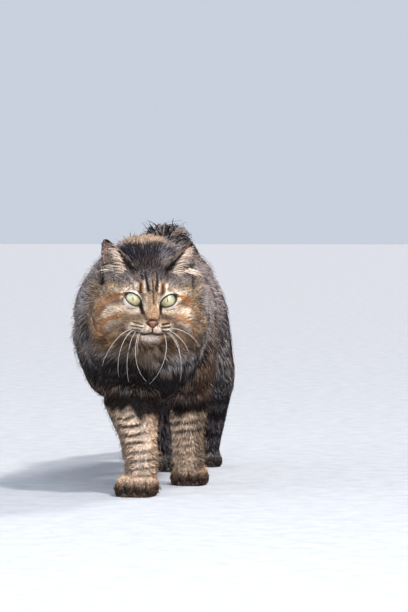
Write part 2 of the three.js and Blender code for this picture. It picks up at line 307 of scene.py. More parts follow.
# %% Bridge from rump to tail, and ankles
BRIDGE_HEIGHT = 0.0135
BRIDGE_HALF = 0.0095
NOTCH_BEHIND = 0.001
root_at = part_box("tail_root")[0][1]
bridge = np.exp(-(((outer[:, 1] - root_at - NOTCH_BEHIND) / BRIDGE_HALF) ** 2))
bridge *= ramp(np.abs(outer[:, 0]), 0.036, 0.018) * ramp(outer[:, 2], 0.265, 0.292)
outer[:, 2] += BRIDGE_HEIGHT * bridge
outer += ramp(bridge, 0.05, 0.4)[:, None] * (soften(outer, 8, 0.5) - outer)
ankle = ramp(outer[:, 2], 0.020, 0.028) * ramp(outer[:, 2], 0.064, 0.048)
outer += ankle[:, None] * (soften(outer, 30, 0.5) - outer)
outer[:, 2] = np.maximum(outer[:, 2], 0.0)
print("bridged points:", int((bridge > 0.1).sum()))

# %% [markdown]
# ## How deep the coat is
# The skin lies inside the solids by the depth of the coat: about a finger's breadth on the body
# and tail, almost nothing on the nose, the ears and the feet. Each point finds the solid it came
# from, and the depths are blended where two solids meet. A thin part, such as an ear, never loses
# more than a third of its thickness. One depth for the whole body would be simpler, but it would
# eat up the ears and the feet.

# %% Depth, length and lie of the coat, solid by solid
# depth and length in mm; lie is the direction that the hair points to, as (x, y, z)
COAT = {
    "head": (9, 17, (0, 0, 0)),
    "ear": (1.2, 5, (0, 0, 0)),
    "neck": (23, 46, (0, 0.8, -0.5)),
    "trunk": (21, 44, (0, 1, -0.45)),
    "upper_arm": (13, 34, (0, 0.5, -0.9)),
    "forearm": (5, 9, (0, 0.1, -1)),
    "forepaw": (3, 9, (0, -1, -0.5)),
    "thigh": (16, 42, (0, 0.6, -0.8)),
    "shank": (6.5, 20, (0, 0.3, -1)),
    "hind_paw": (3, 9, (0, -1, -0.5)),
    "tail": (22, 50, (0, 1, -0.6)),
}


def kind_of(node):
    return next(kind for kind in COAT if node.startswith(kind))


nearest = [solid_tree.find_nearest(Vector(p)) for p in outer]
node_of = np.array([face_node[hit[2]] for hit in nearest])
kinds = [kind_of(name) for name in flesh]
kind_at = np.array(kinds)[node_of]
local = to_head(outer)
outward = unit(soften(normals_of(outer, triangles), 4))

depth = np.array([COAT[k][0] for k in kinds])[node_of].astype(float)
length = np.array([COAT[k][1] for k in kinds])[node_of].astype(float)
lie = np.array([COAT[k][2] for k in kinds])[node_of].astype(float)

# %% [markdown]
# The head is a small landscape of its own. The hair is shortest on the bridge of the nose and
# round the eyes, longer on the brow, and long on the ruffs of the cheeks. It grows away from the
# nose in every direction, and hangs a little.

# %% The head's coat
head_here = kind_at == "head"
x, y, z = local.T
ruff = ramp(np.abs(x), 26, 52) * ramp(z, 18, -6) * ramp(y, 2, 22)
under = ramp(z, -48, -58) * ramp(y, -6, 12)
crown = ramp(z, 14, 34) * ramp(y, 6, 26)
muzzle = ramp(y, 6, -8) * ramp(np.abs(x), 26, 16)
head_depth = 3.4 + 11 * np.maximum(ruff, under) + 2 * crown - 1.6 * muzzle
head_length = 6.5 + 21 * np.maximum(ruff, under) + 5 * crown - 3.2 * muzzle
NOSE_TIP = np.array([0.0, -24.0, -26.0])
away = unit(local - NOSE_TIP)
away[:, 2] -= 0.55 * np.maximum(ruff, under)
away[:, 1] += 1.1 * crown
depth[head_here] = head_depth[head_here]
length[head_here] = head_length[head_here]
lie[head_here] = (away @ HEAD_AXES)[head_here]

EAR_UP = {"left": unit(np.array([0.42, 0.1, 1.0])), "right": unit(np.array([-0.5, 0.1, 1.0]))}
for side in ("left", "right"):
    on_ear = node_of == flesh.index("ear_" + side)
    lie[on_ear] = EAR_UP[side] @ HEAD_AXES

# %% [markdown]
# The mane runs outward from the face all round and then back over the shoulders. On the chest the
# hair hangs down, and along the tail it follows the tail's own bend.

# %% Mane, chest, belly and tail
on_neck = kind_at == "neck"
from_face = outer - from_head([[0, 20, -14]])
from_face[:, 1] = 0
outward_run = unit(from_face) * [1, 1, 0.9]
lie[on_neck] = (outward_run + [0, 0.9, -0.25])[on_neck]
facing_front = np.clip(-outward[:, 1], 0, 1)
facing_down = np.clip(-outward[:, 2], 0, 1)
on_body = on_neck | (kind_at == "trunk")
low_down = ramp(outer[:, 2], 0.25, 0.19)
lie[on_body, 1] -= (0.9 * facing_front * low_down)[on_body]
lie[on_body, 2] -= (0.9 * facing_front * low_down)[on_body]
facing_back = np.clip(outward[:, 1], 0, 1) ** 2
behind = on_body | (kind_at == "thigh")
lie[behind, 1] -= (0.9 * facing_back)[behind]
lie[behind, 2] -= (0.8 * facing_back)[behind]
depth[on_body] += 5 * facing_down[on_body]
length[on_body] += 8 * facing_down[on_body]
tail_points = [middle_of("tail_" + part) for part in ("root", "middle", "tip")]
on_tail = kind_at == "tail"
bend = ramp(outer[:, 1], tail_points[0][1], tail_points[2][1])[:, None]
first_run = unit(tail_points[1] - tail_points[0])
last_run = unit(tail_points[2] - tail_points[1])
lie[on_tail] = (first_run * (1 - bend) + (last_run + [0, 0, 0.25]) * bend)[on_tail]
tail_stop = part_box("tail_tip")[1][1]
tail_end = middle_of("tail_tip") * [1, 0, 1] + [0, tail_stop + 0.05, 0.012]
to_end = unit(tail_end - outer)
last_part = (on_tail & (outer[:, 1] > tail_end[1] - 0.055))[:, None]
lie = np.where(last_part, to_end, lie)

lie = soften(unit(lie), 40)
length = soften(length, 30)
depth = soften(depth, 60)
print("hair: longest", round(float(length.max())), "mm, deepest", round(float(depth.max())), "mm")

# %% [markdown]
# A ray sent inward from each point measures how thick the body is there, and the coat takes no
# more than a third of it. The skin then moves in by small steps and is smoothed a little in each,
# so that it doesn't fold over itself.

# %% Draw the skin in
skin_tree = BVHTree.FromPolygons(outer.tolist(), triangles.tolist())
thick = np.empty(len(outer))
for i, (point, direction) in enumerate(zip(outer, outward)):
    start = Vector(point - direction * 0.6 * MM)
    hit = skin_tree.ray_cast(start, Vector(-direction), 0.2)
    thick[i] = 0.2 if hit[0] is None else hit[3]
thick = soften(thick, 6)
thin_limit = np.where(kind_at == "ear", 0.3, 0.33) * thick / MM
depth = np.minimum(depth, thin_limit)
depth = soften(depth, 12)

STEPS = 12
skin = outer.copy()
yielding = ramp(depth, 1.5, 6)[:, None]
for _ in range(STEPS):
    skin -= normals_of(skin, triangles) * (depth * MM / STEPS)[:, None]
    skin += yielding * (soften(skin, 2, 0.5) - skin)
skin += 0.6 * (soften(skin, 2, 0.5) - skin)
rise = outer - skin
print("coat depth: mean", round(float(np.linalg.norm(rise, axis=1).mean() / MM), 1), "mm")

# %% [markdown]
# ## Lids, mouth and chin
# The lids lie close over the eyeball and leave an almond-shaped opening, slanted down towards the
# nose. Inside the opening the skin is pushed back behind the eyeball. Round it the skin is drawn
# on to a shell just outside the eyeball. The openings could be cut out with a boolean. Moving the
# points keeps the skin in one piece and its rims smooth.

# %% The eyes' openings
EYE_RADIUS = 11.3
OPENING = {"long": 10.7, "above": 6.7, "below": 6.3}
SLANT = math.radians(32)


def eye_axes(side):
    """along the opening to its outer corner, across it upwards, and outwards, in the head's frame"""
    sign = 1 if side == "left" else -1
    out = unit(np.array([0.10 * sign, -1.0, 0.02]))
    along = np.array([sign * math.cos(SLANT), 0.0, math.sin(SLANT)])
    along = unit(along - out * (along @ out))
    across = np.cross(out, along) * -sign
    return np.array([along, across if across[2] > 0 else -across, out])


eye_at = {side: to_head(eye_middle[side]) + [0, 0.3, 0] for side in eye_middle}


def in_eye(points, side):
    return (points - eye_at[side]) @ eye_axes(side).T


def opening_share(a, b):
    """Under 1 inside the almond, 1 on its rim and over 1 outside."""
    half = np.where(b > 0, OPENING["above"], OPENING["below"])
    corner = np.abs(a / OPENING["long"]) ** 1.85
    return (corner + np.abs(b / half) ** 2) ** 0.52


local = to_head(skin)
for side in ("left", "right"):
    axes = eye_axes(side)
    a, b, c = in_eye(local, side).T
    share = opening_share(a, b)
    near = (c > -16) & (share < 3.4)
    shell = EYE_RADIUS + 0.9
    lid = shell * np.sqrt(np.maximum(1 - (a * a + b * b) / shell**2, 0.10))
    sunk = np.sqrt(np.maximum(EYE_RADIUS**2 - a * a - b * b, 9)) - 3.2
    pull = np.where(lid > c, ramp(share, 3.2, 1.12), ramp(share, 2.1, 1.15))
    target = np.where(share < 0.98, sunk, c * (1 - pull) + lid * pull)
    move = np.where(near, target - c, 0.0)
    local += move[:, None] * axes[2]
    ring = ramp(share, 1.16, 1.4) * ramp(np.hypot(a, b), 17, 14) * (c > -16)
    outside = (share > 1.0) & (c > -16)
    for _ in range(60):
        local += ring[:, None] * (soften(local, 1, 0.5) - local)
        a, b, c = in_eye(local, side).T
        over_ball = shell**2 - a * a - b * b
        lift = np.where(outside & (over_ball > 0), np.sqrt(np.maximum(over_ball, 0)) - c, 0)
        local += np.maximum(lift, 0)[:, None] * axes[2]

# %% [markdown]
# A cat's mouth is a short groove under the nose that parts into two lips. The whisker pads bulge
# on either side of it. Below, the chin is small and round. These folds could be sculpted by hand.
# Here each is a bump given by a formula, so that it can be moved or deepened by changing one
# number.

# %% Groove, lips and pads
x, y, z = local.T
front = ramp(y, 8, -4)
groove = np.exp(-((x / 1.1) ** 2)) * ramp(z, -41, -39) * ramp(z, -31, -33) * front
lip_height = -40.4 + 1.6 * np.exp(-((x / 3.2) ** 2)) + 2.2 * ramp(np.abs(x), 9, 18)
lips = np.exp(-(((z - lip_height) / 1.3) ** 2)) * ramp(np.abs(x), 21, 16) * front
nostril_wing = np.exp(-((np.abs(x) - 7.5) / 2.2) ** 2 - ((z + 29) / 3) ** 2) * front
tear_line = np.exp(-((np.abs(x) - 10.5) / 2.5) ** 2 - ((z + 12) / 7) ** 2) * ramp(y, 14, 4)
pad = np.exp(-(((np.abs(x) - 11) / 8) ** 2) - ((z + 33) / 5.5) ** 2) * front
chin = np.exp(-((x / 8) ** 2) - ((z + 48) / 4) ** 2) * front
inward = 1.8 * groove + 2.4 * lips + 0.7 * nostril_wing + 0.9 * tear_line - 1.6 * pad - 1.0 * chin
# Below the ear's cup a small pocket folds into its outer edge.
pocket = np.exp(-(((np.abs(x) - 56) / 4.0) ** 2) - ((z - 25) / 8) ** 2) * ramp(y, 46, 28)
inward += 5.0 * pocket
local -= normals_of(local, triangles) * inward[:, None]
skin = from_head(local)

# Three clefts part the four toes of each paw.
cleft = np.zeros(len(skin))
for name in flesh:
    if "paw" in name:
        low, high = np.array(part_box(name))
        half = (high - low) / 2
        across = (skin[:, 0] - low[0] - half[0]) / half[0]
        ahead = (low[1] + half[1] - skin[:, 1]) / half[1]
        on_paw = (node_of == flesh.index(name)) * ramp(ahead, 0.1, 0.5) * ramp(skin[:, 2], 0.024, 0.014)
        for line in (-0.46, 0.0, 0.46):
            cleft = np.maximum(cleft, np.exp(-(((across - line) / 0.085) ** 2)) * on_paw)
skin -= normals_of(skin, triangles) * (3.2 * MM * cleft)[:, None]
skin[:, 2] = np.maximum(skin[:, 2], 0.0)
print("lids and lips drawn; deepest fold", round(float(inward.max()), 1), "mm")

# %% [markdown]
# ## Markings
# This cat is a brown tabby with ginger patches. Three masks hold its markings: dark, rust and pale,
# each from 0 to 1. In a few places they also hold painted shade and painted sunlight. On the face they
# are soft strokes along named lines in the head's frame.
# The rest of the body gets bands, rings and patches by rule. The skin and the locks of hair read
# the same masks. The markings could be painted on an image that is wrapped round the body. Values
# on the points need no image, follow every fold, and reach the locks of hair as well.

# %% Strokes of the face
# name: (mask, half width in mm, strength, points as (x, z) on the cat's right side)
PAIRED_STROKES = {
    "tear line": ("dark", 2.1, 1.0, [(-12.0, -6), (-11.0, -15)]),
    "side of the nose": ("dark", 1.9, 0.55, [(-9.6, -17), (-7.4, -22)]),
    "brow stripe": ("dark", 1.8, 0.95, [(-7.0, 32), (-6.2, 22), (-4.6, 12)]),
    "side brow stripe": ("dark", 2.2, 0.7, [(-15, 42), (-12.5, 32), (-11.5, 25)]),
    "far brow stripe": ("dark", 3.0, 0.55, [(-26, 34), (-20, 27), (-17, 24)]),
    "smudge under the eye": ("dark", 3.0, 0.28, [(-18, -20), (-25, -21.5), (-33, -23)]),
    "upper whisker row": ("dark", 0.7, 0.85, [(-21, -26.8), (-12, -28.8)]),
    "middle whisker row": ("dark", 0.7, 0.85, [(-24, -31.0), (-12, -32.4)]),
    "lower whisker row": ("dark", 0.7, 0.75, [(-22, -35.4), (-14, -35.8)]),
    "upper cheek band": ("dark", 2.0, 0.3, [(-34, -1.5), (-46, -5), (-56, -14), (-60, -24)]),
    "lower cheek band": ("dark", 3.2, 0.42, [(-36, -30), (-44, -36), (-52, -45), (-48, -54)]),
    "pocket of the ear": ("dark", 3.6, 1.0, [(-56, 31), (-55.5, 18)]),
    "behind the pad": ("dark", 3.8, 0.34, [(-28.5, -22), (-31, -33)]),
    "brow spot": ("rust", 1.9, 1.2, [(-13.2, 20), (-13.6, 9.5)]),
    "core of the brow spot": ("dark", 1.4, 0.85, [(-13.0, 19), (-13.4, 8.5)]),
    "eye stripe": ("rust", 1.9, 1.2, [(-27, 7), (-39, 4.6), (-48, 0.5), (-55, -8), (-60, -14)]),
    "cheek swirl": ("rust", 2.4, 1.1, [(-35, -20), (-46, -23), (-53, -27), (-56, -34), (-51, -43)]),
    "outer swirl": ("rust", 2.2, 0.8, [(-57, -10), (-61, -22), (-61, -34), (-56, -46)]),
    "ginger of the cheek": ("rust", 8.0, 0.35, [(-34, -14), (-44, -30)]),
    "lip corner": ("rust", 3.4, 0.4, [(-22, -44), (-30, -42), (-36, -38)]),
    "inner brow": ("pale", 1.9, 1.0, [(-18.4, 19), (-18.4, 8.5)]),
    "side of the brow stripe": ("pale", 1.2, 0.7, [(-9.2, 22), (-8.6, 10)]),
    "over the eye": ("pale", 2.6, 0.5, [(-19, 10.5), (-29, 12.0), (-42, 10)]),
    "under the eye": ("pale", 4.6, 1.0, [(-14, -11.5), (-22, -12.5), (-30, -9)]),
    "cheek patch": ("pale", 5.4, 0.72, [(-36, -10.5), (-47, -12), (-50, -20), (-46, -27)]),
    "lower cheek patch": ("pale", 3.6, 0.6, [(-36, -27), (-44, -36), (-52, -36)]),
    "whisker pad": ("pale", 4.8, 1.0, [(-7, -33), (-25, -31)]),
    "beside the nose": ("pale", 2.2, 0.85, [(-9.5, -28), (-4.5, -34)]),
    "under the pad": ("dark", 2.2, 0.5, [(-21, -40), (-33, -37)]),
    "side of the bridge": ("pale", 2.2, 0.7, [(-7.6, 3), (-7.4, -9)]),
    "under the ear": ("pale", 6.0, 0.2, [(-40, 27), (-30, 22)]),
    "inner rim of the ear": ("dark", 2.0, 0.95, [(-53, 70), (-38, 55), (-22, 37)]),
    "foot of the ear": ("dark", 3.6, 0.75, [(-27, 44), (-20, 33)]),
}
MIDDLE_STROKES = {
    "middle stripe": ("dark", 1.1, 0.7, [(0.2, 38), (0.9, 12), (1.0, -4)]),
    "mouth": ("dark", 1.1, 0.8, [(-18, -38.6), (-9, -40.6), (0, -39), (9, -40.6), (17, -38.6)]),
    "bridge": ("rust", 4.6, 0.6, [(0.6, -14), (0.4, -22)]),
    "forehead": ("rust", 2.2, 0.4, [(3.6, 28), (3.8, 8)]),
    "chin": ("pale", 3.2, 1.0, [(-8.5, -44.6), (0, -46.4), (8.0, -44.6)]),
    "upper left row": ("dark", 1.2, 0.8, [(12, -27.8), (22, -26.6)]),
    "middle left row": ("dark", 1.2, 0.8, [(11, -31.8), (23, -30.8)]),
    "lower left row": ("dark", 1.2, 0.8, [(12, -35.8), (22, -36.4)]),
    "right of the mouth": ("dark", 1.5, 0.6, [(-16, -39.0), (-8, -40.6)]),
    "left of the mouth": ("dark", 1.5, 0.8, [(6, -40.4), (14, -39.4)]),
    "philtrum": ("dark", 0.7, 0.9, [(0.5, -32), (0.5, -39)]),
    "grey smudge": ("dark", 3.4, 0.55, [(13, -18), (24, -21)]),
    "right smudge": ("dark", 3.0, 0.3, [(-13, -20.5), (-22, -22)]),
    "above the nose": ("dark", 1.5, 0.5, [(-6.0, -22.6), (7.5, -22.6)]),
    # Painted shade: the cat's right cheek, on the side away from the sun, is darkened broadly.
    "painted shade of the right cheek": ("dark", 9.0, 0.24, [(-36, -27), (-50, -30)]),
    "right temple": ("dark", 5.0, 0.3, [(-38, 27), (-46, 21)]),
    "under the nose": ("pale", 2.0, 0.9, [(-4, -34.5), (4, -34.5)]),
}


def stroke(across, up, points, half_width):
    """1 on the line through the points, falling softly to 0 at twice the half width."""
    far = np.full(len(across), 1e9)
    for (x0, z0), (x1, z1) in zip(points, points[1:]):
        dx, dz = x1 - x0, z1 - z0
        t = np.clip(((across - x0) * dx + (up - z0) * dz) / (dx * dx + dz * dz), 0, 1)
        far = np.minimum(far, np.hypot(across - x0 - t * dx, up - z0 - t * dz))
    return ramp(far, 1.6 * half_width, 0.45 * half_width)


def highest(*layers):
    """At each point the strongest of several layers."""
    top = layers[0]
    for layer in layers[1:]:
        top = np.maximum(top, layer)
    return top


def strengthen(marks, mask, *amounts):
    """Raises a mask to each amount, where the amount is more than the mask."""
    marks[mask] = highest(marks[mask], *amounts)


def face_marks(local):
    """The three masks of the head, for points in its own frame, with painted shade on the throat under
    the chin.
    """
    x, y, z = local.T
    marks = {mask: np.zeros(len(local)) for mask in ("dark", "rust", "pale")}
    front = ramp(y, 52, 34)
    for strokes, across in ((PAIRED_STROKES, -np.abs(x)), (MIDDLE_STROKES, x)):
        for mask, width, strength, points in strokes.values():
            strengthen(marks, mask, stroke(across, z, points, width) * strength * front)
    for side in ("left", "right"):
        a, b, c = in_eye(local, side).T
        share = np.where(c > -6, opening_share(a, b), 9)
        rim = ramp(share, 1.12, 1.05)
        strengthen(marks, "dark", rim)
        strengthen(marks, "pale", 1.1 * ramp(share, 2.0, 1.5) * (1 - rim) * ramp(b, 14, 2))
    brow = ramp(z, 20, 33) * ramp(np.abs(x), 34, 14)
    brow *= 0.72 + 0.35 * ramp(z, 36, 50) * ramp(np.abs(x), 20, 6)
    temple = ramp(z, 14, 20) * ramp(np.abs(x), 20, 28)
    beside_chin = ramp(z, -41, -46) * ramp(np.abs(x), 11, 17) * ramp(np.abs(x), 44, 28)
    throat = ramp(z, -48, -54) * ramp(np.abs(x), 34, 20)
    locks = ramp(drift(local * [MM, MM, 0.35 * MM], 0.007, 3), -0.3, 0.35)
    # Painted shade: the throat under the chin is darkened where the head shades it. Lighter streaks of
    # hair break it up.
    shade_under_face = throat * (0.66 - 0.34 * locks)
    strengthen(marks, "dark", brow, 0.48 * temple, 0.5 * beside_chin, shade_under_face)
    strengthen(marks, "pale", 0.5 * throat * locks)
    marks["pale"] *= 1 - 0.85 * ramp(marks["rust"], 0.45, 0.9)
    rim_of_disc = np.maximum(ramp(x, 47, 55), ramp(-x, 56, 64))
    disc = ramp(y, 62, 34)
    strengthen(marks, "rust", 0.36 * ramp(z, 10, -4) * disc)
    strengthen(marks, "pale", 0.2 * ramp(z, 6, -6) * ramp(z, -50, -42) * disc)
    for mask in ("rust", "pale"):
        marks[mask] *= 1 - 0.6 * rim_of_disc
    strengthen(marks, "dark", 0.22 * rim_of_disc)
    marks["pale"] *= 1 - 0.9 * marks["dark"]
    marks["rust"] *= 1 - 0.5 * marks["dark"]
    return marks


# %% [markdown]
# The body's bands are told from the place of each point. Wavy darker bands run down the flanks,
# thin dark bars cross the fronts of the cream forelegs, and the tail is ringed. The chest, the
# upper arms and the middle of the back are nearly black. Ginger comes in broad patches.

# %% Bands and patches of the body
share_of = {}
for kind in COAT:
    share_of[kind] = soften((kind_at == kind).astype(float), 10)
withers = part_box("neck")[1][2]
trunk_low, trunk_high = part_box("trunk")
body_length = trunk_high[1] - trunk_low[1]
LEGS_PART = 0.027  # the left foreleg stands on the far side of this x
LEG_BAR = 0.010  # from one dark bar to the next
HIND_BAR = 0.021
TAIL_RING = 0.055
print("trunk", round(float(body_length), 3), "m long, withers at", round(float(withers), 3))

# %% [markdown]
# Fur is never even. A few slow waves in different directions add up to a value that drifts from
# place to place. It shifts the bands, breaks up the patches and streaks the throat. Here it is
# worked out from the points, because the locks need it as a number and not only as a colour.


# %% A value that drifts
waves = np.random.default_rng(11).uniform(0, 6.28, (4, 8))


def drift(points, size, pattern):
    """A slow random value between about -1 and 1; size is the width of a patch in metres."""
    total = np.zeros(len(points))
    for i, phase in enumerate(waves[pattern]):
        angle = 2.4 * i + pattern
        run = np.array([math.cos(angle), math.sin(angle * 1.3), math.sin(angle)])
        total += np.sin(points @ run * (3.1 + 0.5 * i) / size + phase)
    return total / 3.2


# %% [markdown]
# The masks of the body come from four short functions: the dark of the trunk and neck, the dark
# of the limbs, the lighter places that clear the dark, and one that joins them and adds ginger
# and cream.


# %% Dark of the body and the limbs
def dark_of_body(points, facing, share, bands):
    """How dark the trunk, the rump and the neck are, with a little painted shade on the neck under the
    head.
    """
    x, y, z = points.T
    along_body = (y - trunk_low[1]) / body_length
    middle = (trunk_low[0] + trunk_high[0]) / 2
    wide = 0.022 * ramp(along_body, 0.5, 0.8)
    spine = ramp(np.abs(x - middle), 0.030 + wide, 0.012 + wide) * ramp(facing[:, 2], 0.4, 0.8)
    sides = ramp(facing[:, 2], 0.95, 0.5)
    trunk = share["trunk"] + share["thigh"] + share["neck"]
    striped = trunk * np.maximum(0.62 * bands * sides, 0.9 * spine * ramp(along_body, 0.12, 0.3))
    lower_flank = share["trunk"] * ramp(y, -0.16, -0.10) * ramp(z, 0.235, 0.195)
    rump = ramp(y, -0.03, 0.01) * ramp(z, 0.262, 0.282) * ramp(y, 0.15, 0.12)
    behind_neck = highest(striped, 0.7 * lower_flank, (trunk + share["tail"]) * 1.9 * rump)

    nape = ramp(np.abs(x - 0.004), 0.036, 0.012) * ramp(z, withers - 0.055, withers - 0.045)
    nape *= ramp(z, withers - 0.005, withers - 0.012)
    wide_nape = ramp(np.abs(x - 0.008), 0.070, 0.045) * ramp(z, withers - 0.010, withers - 0.017)
    wide_nape = share["neck"] * 0.5 * wide_nape * ramp(z, withers - 0.06, withers - 0.045)
    # Painted shade: the front of the neck just under the head is darkened a little, where the head
    # shades it.
    shade_under_head = share["neck"] * ramp(z, 0.245, 0.20) * ramp(facing[:, 1], 0.5, -0.3)
    chest = ramp(z + 0.012 * drift(points, 0.03, 2), 0.185, 0.150)
    chest = chest * ramp(facing[:, 1], 0.35, -0.1) * ramp(y, -0.12, -0.18)
    return highest(
        behind_neck * (1 - 0.6 * share["neck"]),
        share["neck"] * 1.4 * nape,
        wide_nape,
        0.22 * shade_under_head,
        (share["neck"] + share["trunk"]) * 1.1 * chest,
    )


def dark_of_limbs(points, facing, share, wander):
    """How dark the arms, legs, paws and tail are."""
    x, y, z = points.T
    left_leg = x > LEGS_PART
    # The black of the arm ends at an edge, which slopes on the right leg. Bars cross the front below.
    edge = np.where(left_leg, 0.090, 0.101 - 0.017 * ramp(x, -0.012, 0.016))
    edge = edge + 0.003 * drift(points, 0.016, 2)
    upper = ramp(z, edge - 0.006, edge + 0.006)
    ripple = 0.9 * wander + 0.7 * drift(points, 0.018, 2)
    bars = ramp(np.sin((z - 0.12 * x) * 2 * math.pi / LEG_BAR + ripple), -0.05, 0.95)
    fore = share["forearm"] * ramp(facing[:, 1], 0.25, -0.35) * (1 - upper)
    low_fore = ramp(z, 0.066, 0.054)
    outer_side = ramp(facing[:, 0] * np.where(x < LEGS_PART, -1, 1), 0.2, 0.75)
    hind_bars = ramp(np.sin(z * 2 * math.pi / HIND_BAR + 1.5 * wander), 0.0, 0.6)
    toes = (share["forepaw"] + share["hind_paw"]) * ramp(z, 0.022, 0.008)
    rings = ramp(np.sin(y * 2 * math.pi / TAIL_RING + wander), -0.2, 0.5)
    return highest(
        share["upper_arm"] * (0.92 + 0.2 * wander - 0.22 * ramp(x, 0.02, 0.04)),
        share["forearm"] * upper * 0.9,
        fore * bars * (0.76 - low_fore * np.where(left_leg, 0.35, 0.24)),
        0.12 * share["forearm"] * low_fore * left_leg,
        share["forearm"] * ramp(facing[:, 1], -0.1, 0.5) * 0.75,
        share["forearm"] * 0.5 * outer_side,
        (share["shank"] + 0.6 * share["thigh"]) * (0.35 + 0.6 * hind_bars),
        0.42 * share["hind_paw"],
        0.74 * toes,
        share["tail"] * np.maximum(0.75 * rings, ramp(y, 0.31, 0.34)),
    )

# %% [markdown]
# The lighter places are found in the same way. They are kept apart from the dark ones, because
# each of them clears the dark and also brings in some ginger or cream.


# %% Lighter places, ginger and cream
def light_places(points, facing, share, wander, bands):
    """How much of each lighter place is here, one of them painted sunlight on the right foreleg. The
    dark mask is cleared there.
    """
    x, y, z = points.T
    # Painted sunlight: the side of the right foreleg that faces the sun is made lighter and more
    # ginger, and its dark is cleared.
    sunlit_inner_edge = share["forearm"] * ramp(facing[:, 0], 0.1, 0.5) * ramp(x, LEGS_PART, 0.020)
    sunlit_inner_edge *= ramp(z, 0.050, 0.062) * ramp(z, 0.100, 0.090)
    flank = ramp(np.abs(facing[:, 0]), 0.35, 0.6) * ramp(z, 0.19, 0.225) * ramp(y, 0.06, 0.03)
    flank *= share["trunk"] * ramp(facing[:, 2], 0.8, 0.6) * (0.85 + 0.3 * wander)
    flank *= 1 - 0.4 * bands
    streaks = ramp(drift(points * [1, 1, 0.35], 0.010, 3), -0.4, 0.2)
    bib = share["neck"] * ramp(z, 0.138, 0.150) * ramp(z, 0.205, 0.180) * streaks
    bib *= ramp(facing[:, 1], 0.2, -0.2)
    bib *= np.maximum(ramp(x, 0.004, 0.026), 0.3 * ramp(-x, 0.01, 0.03))
    neck_side = share["neck"] * ramp(np.abs(facing[:, 0]), 0.3, 0.7) * ramp(z, 0.2, 0.23)
    return sunlit_inner_edge, flank, bib, neck_side


def body_marks(points, facing, share):
    """The three masks of everything behind the head. share gives how much of each kind is here."""
    x, y, z = points.T
    wander = drift(points, 0.06, 0)
    along_body = (y - trunk_low[1]) / body_length
    bands = ramp(np.sin(along_body * 33 + 2.2 * wander + 9 * (z - 0.2)), -0.1, 0.8)
    sunlit_inner_edge, flank, bib, neck_side = light_places(points, facing, share, wander, bands)
    dark = np.maximum(dark_of_body(points, facing, share, bands),
                      dark_of_limbs(points, facing, share, wander))
    dark *= 1 - 0.7 * sunlit_inner_edge
    dark *= 1 - 0.75 * np.clip(flank, 0, 1)
    dark *= 1 - 0.75 * bib
    dark *= 1 - 0.5 * neck_side

    patch = ramp(drift(points, 0.075, 1), 0.25, 0.8)
    shoulder = ramp(z, withers - 0.016, withers - 0.007) * ramp(np.abs(x), 0.075, 0.05)
    rust = highest(
        0.28 * patch * (share["trunk"] + share["neck"] + share["thigh"] + 0.6 * share["tail"]),
        share["neck"] * 0.8 * shoulder,
        0.7 * share["upper_arm"],
        0.25 * (share["forearm"] + share["forepaw"]),
        0.85 * sunlit_inner_edge,
        0.45 * flank,
    )
    belly = share["trunk"] * ramp(facing[:, 2], -0.4, -0.8) * ramp(along_body, 0.2, 0.35)
    pale = highest(
        share["forearm"] * ramp(facing[:, 1], 0.3, -0.3),
        (share["forepaw"] + share["hind_paw"]) * 0.75 * ramp(z, 0.008, 0.022),
        share["neck"] * 0.36 * shoulder,
        0.5 * flank,
        0.5 * bib,
        0.24 * neck_side,
        0.4 * belly,
    )
    return {"dark": dark, "rust": rust * (1 - 0.3 * dark), "pale": pale * (1 - 0.85 * dark)}


# %% [markdown]
# Head and body are joined by how much of the head is at each point. A second value, coolness, says
# where the hair is greyer and bluer, as it is in the shade of the ears. It is partly the hair's own
# grey and partly a painted cast of blue sky light on hair that faces up or lies in shade.


# %% Masks of the whole cat
def marks_at(points, facing, share):
    """The three masks anywhere on the cat, with the ears' pale cups, dark backs and dark tips."""
    body = body_marks(points, facing, share)
    local = to_head(points)
    face = face_marks(local)
    head = np.clip(share["head"] + share["ear"], 0, 1)
    tips = share["ear"] * ramp(local[:, 2], 62, 71)
    marks = {mask: body[mask] * (1 - head) + face[mask] * head for mask in body}
    cup = share["ear"] * ramp(facing @ HEAD_AXES[1], 0.1, -0.4) * ramp(local[:, 2], 66, 56)
    cup = cup * (1 - marks["dark"])
    back = share["ear"] * ramp(facing @ HEAD_AXES[1], 0.1, 0.6)
    strengthen(marks, "pale", 0.75 * cup)
    strengthen(marks, "rust", 0.3 * cup)
    strengthen(marks, "dark", 0.5 * cup * ramp(local[:, 2], 44, 34), 0.55 * back, 0.32 * tips)
    marks["dark"] = np.clip(marks["dark"], 0, 1)
    return marks


def coolness_and_sky_cast(points, share):
    """Where the hair is greyer and bluer: the crown, the nape and the chin, and a little behind. This
    is partly the hair's own grey and partly painted blue sky light.
    """
    x, y, z = to_head(points).T
    crown = ramp(z, 14, 32)
    chin_here = ramp(z, -41, -44) * ramp(np.abs(x), 14, 9) * ramp(z, -54, -50)
    head = np.clip(share["head"] + 0.25 * share["ear"], 0, 1)
    height = points[:, 2]
    nape = share["neck"] * ramp(height, withers - 0.060, withers - 0.045)
    nape = nape * ramp(np.abs(points[:, 0]), 0.050, 0.030)
    nape = nape * ramp(height, withers - 0.005, withers - 0.012)
    behind = nape + 0.2 * share["trunk"] + 0.22 * share["thigh"] + 0.4 * share["shank"]
    return np.clip(head * np.maximum(crown, 0.4 * chin_here) + behind, 0, 1)


skin_facing = normals_of(skin, triangles)
broad_facing = soften(skin_facing, 8)
skin_marks = marks_at(skin, broad_facing, share_of)
print({mask: round(float(v.mean()), 2) for mask, v in skin_marks.items()})

# %% [markdown]
# ## Colours of hair and skin
# A tabby's hair is banded: grey at the root, tan in the middle, and dark at the tip. One shared
# group mixes that from the three masks, the place along the lock and the lock's own random shade.


# %% Node tools
def colour(hex_code):
    """A colour for a material from a maker's hex code."""
    parts = [int(hex_code[i : i + 2], 16) / 255 for i in (0, 2, 4)]
    return tuple(p / 12.92 if p < 0.04 else ((p + 0.055) / 1.055) ** 2.4 for p in parts) + (1,)


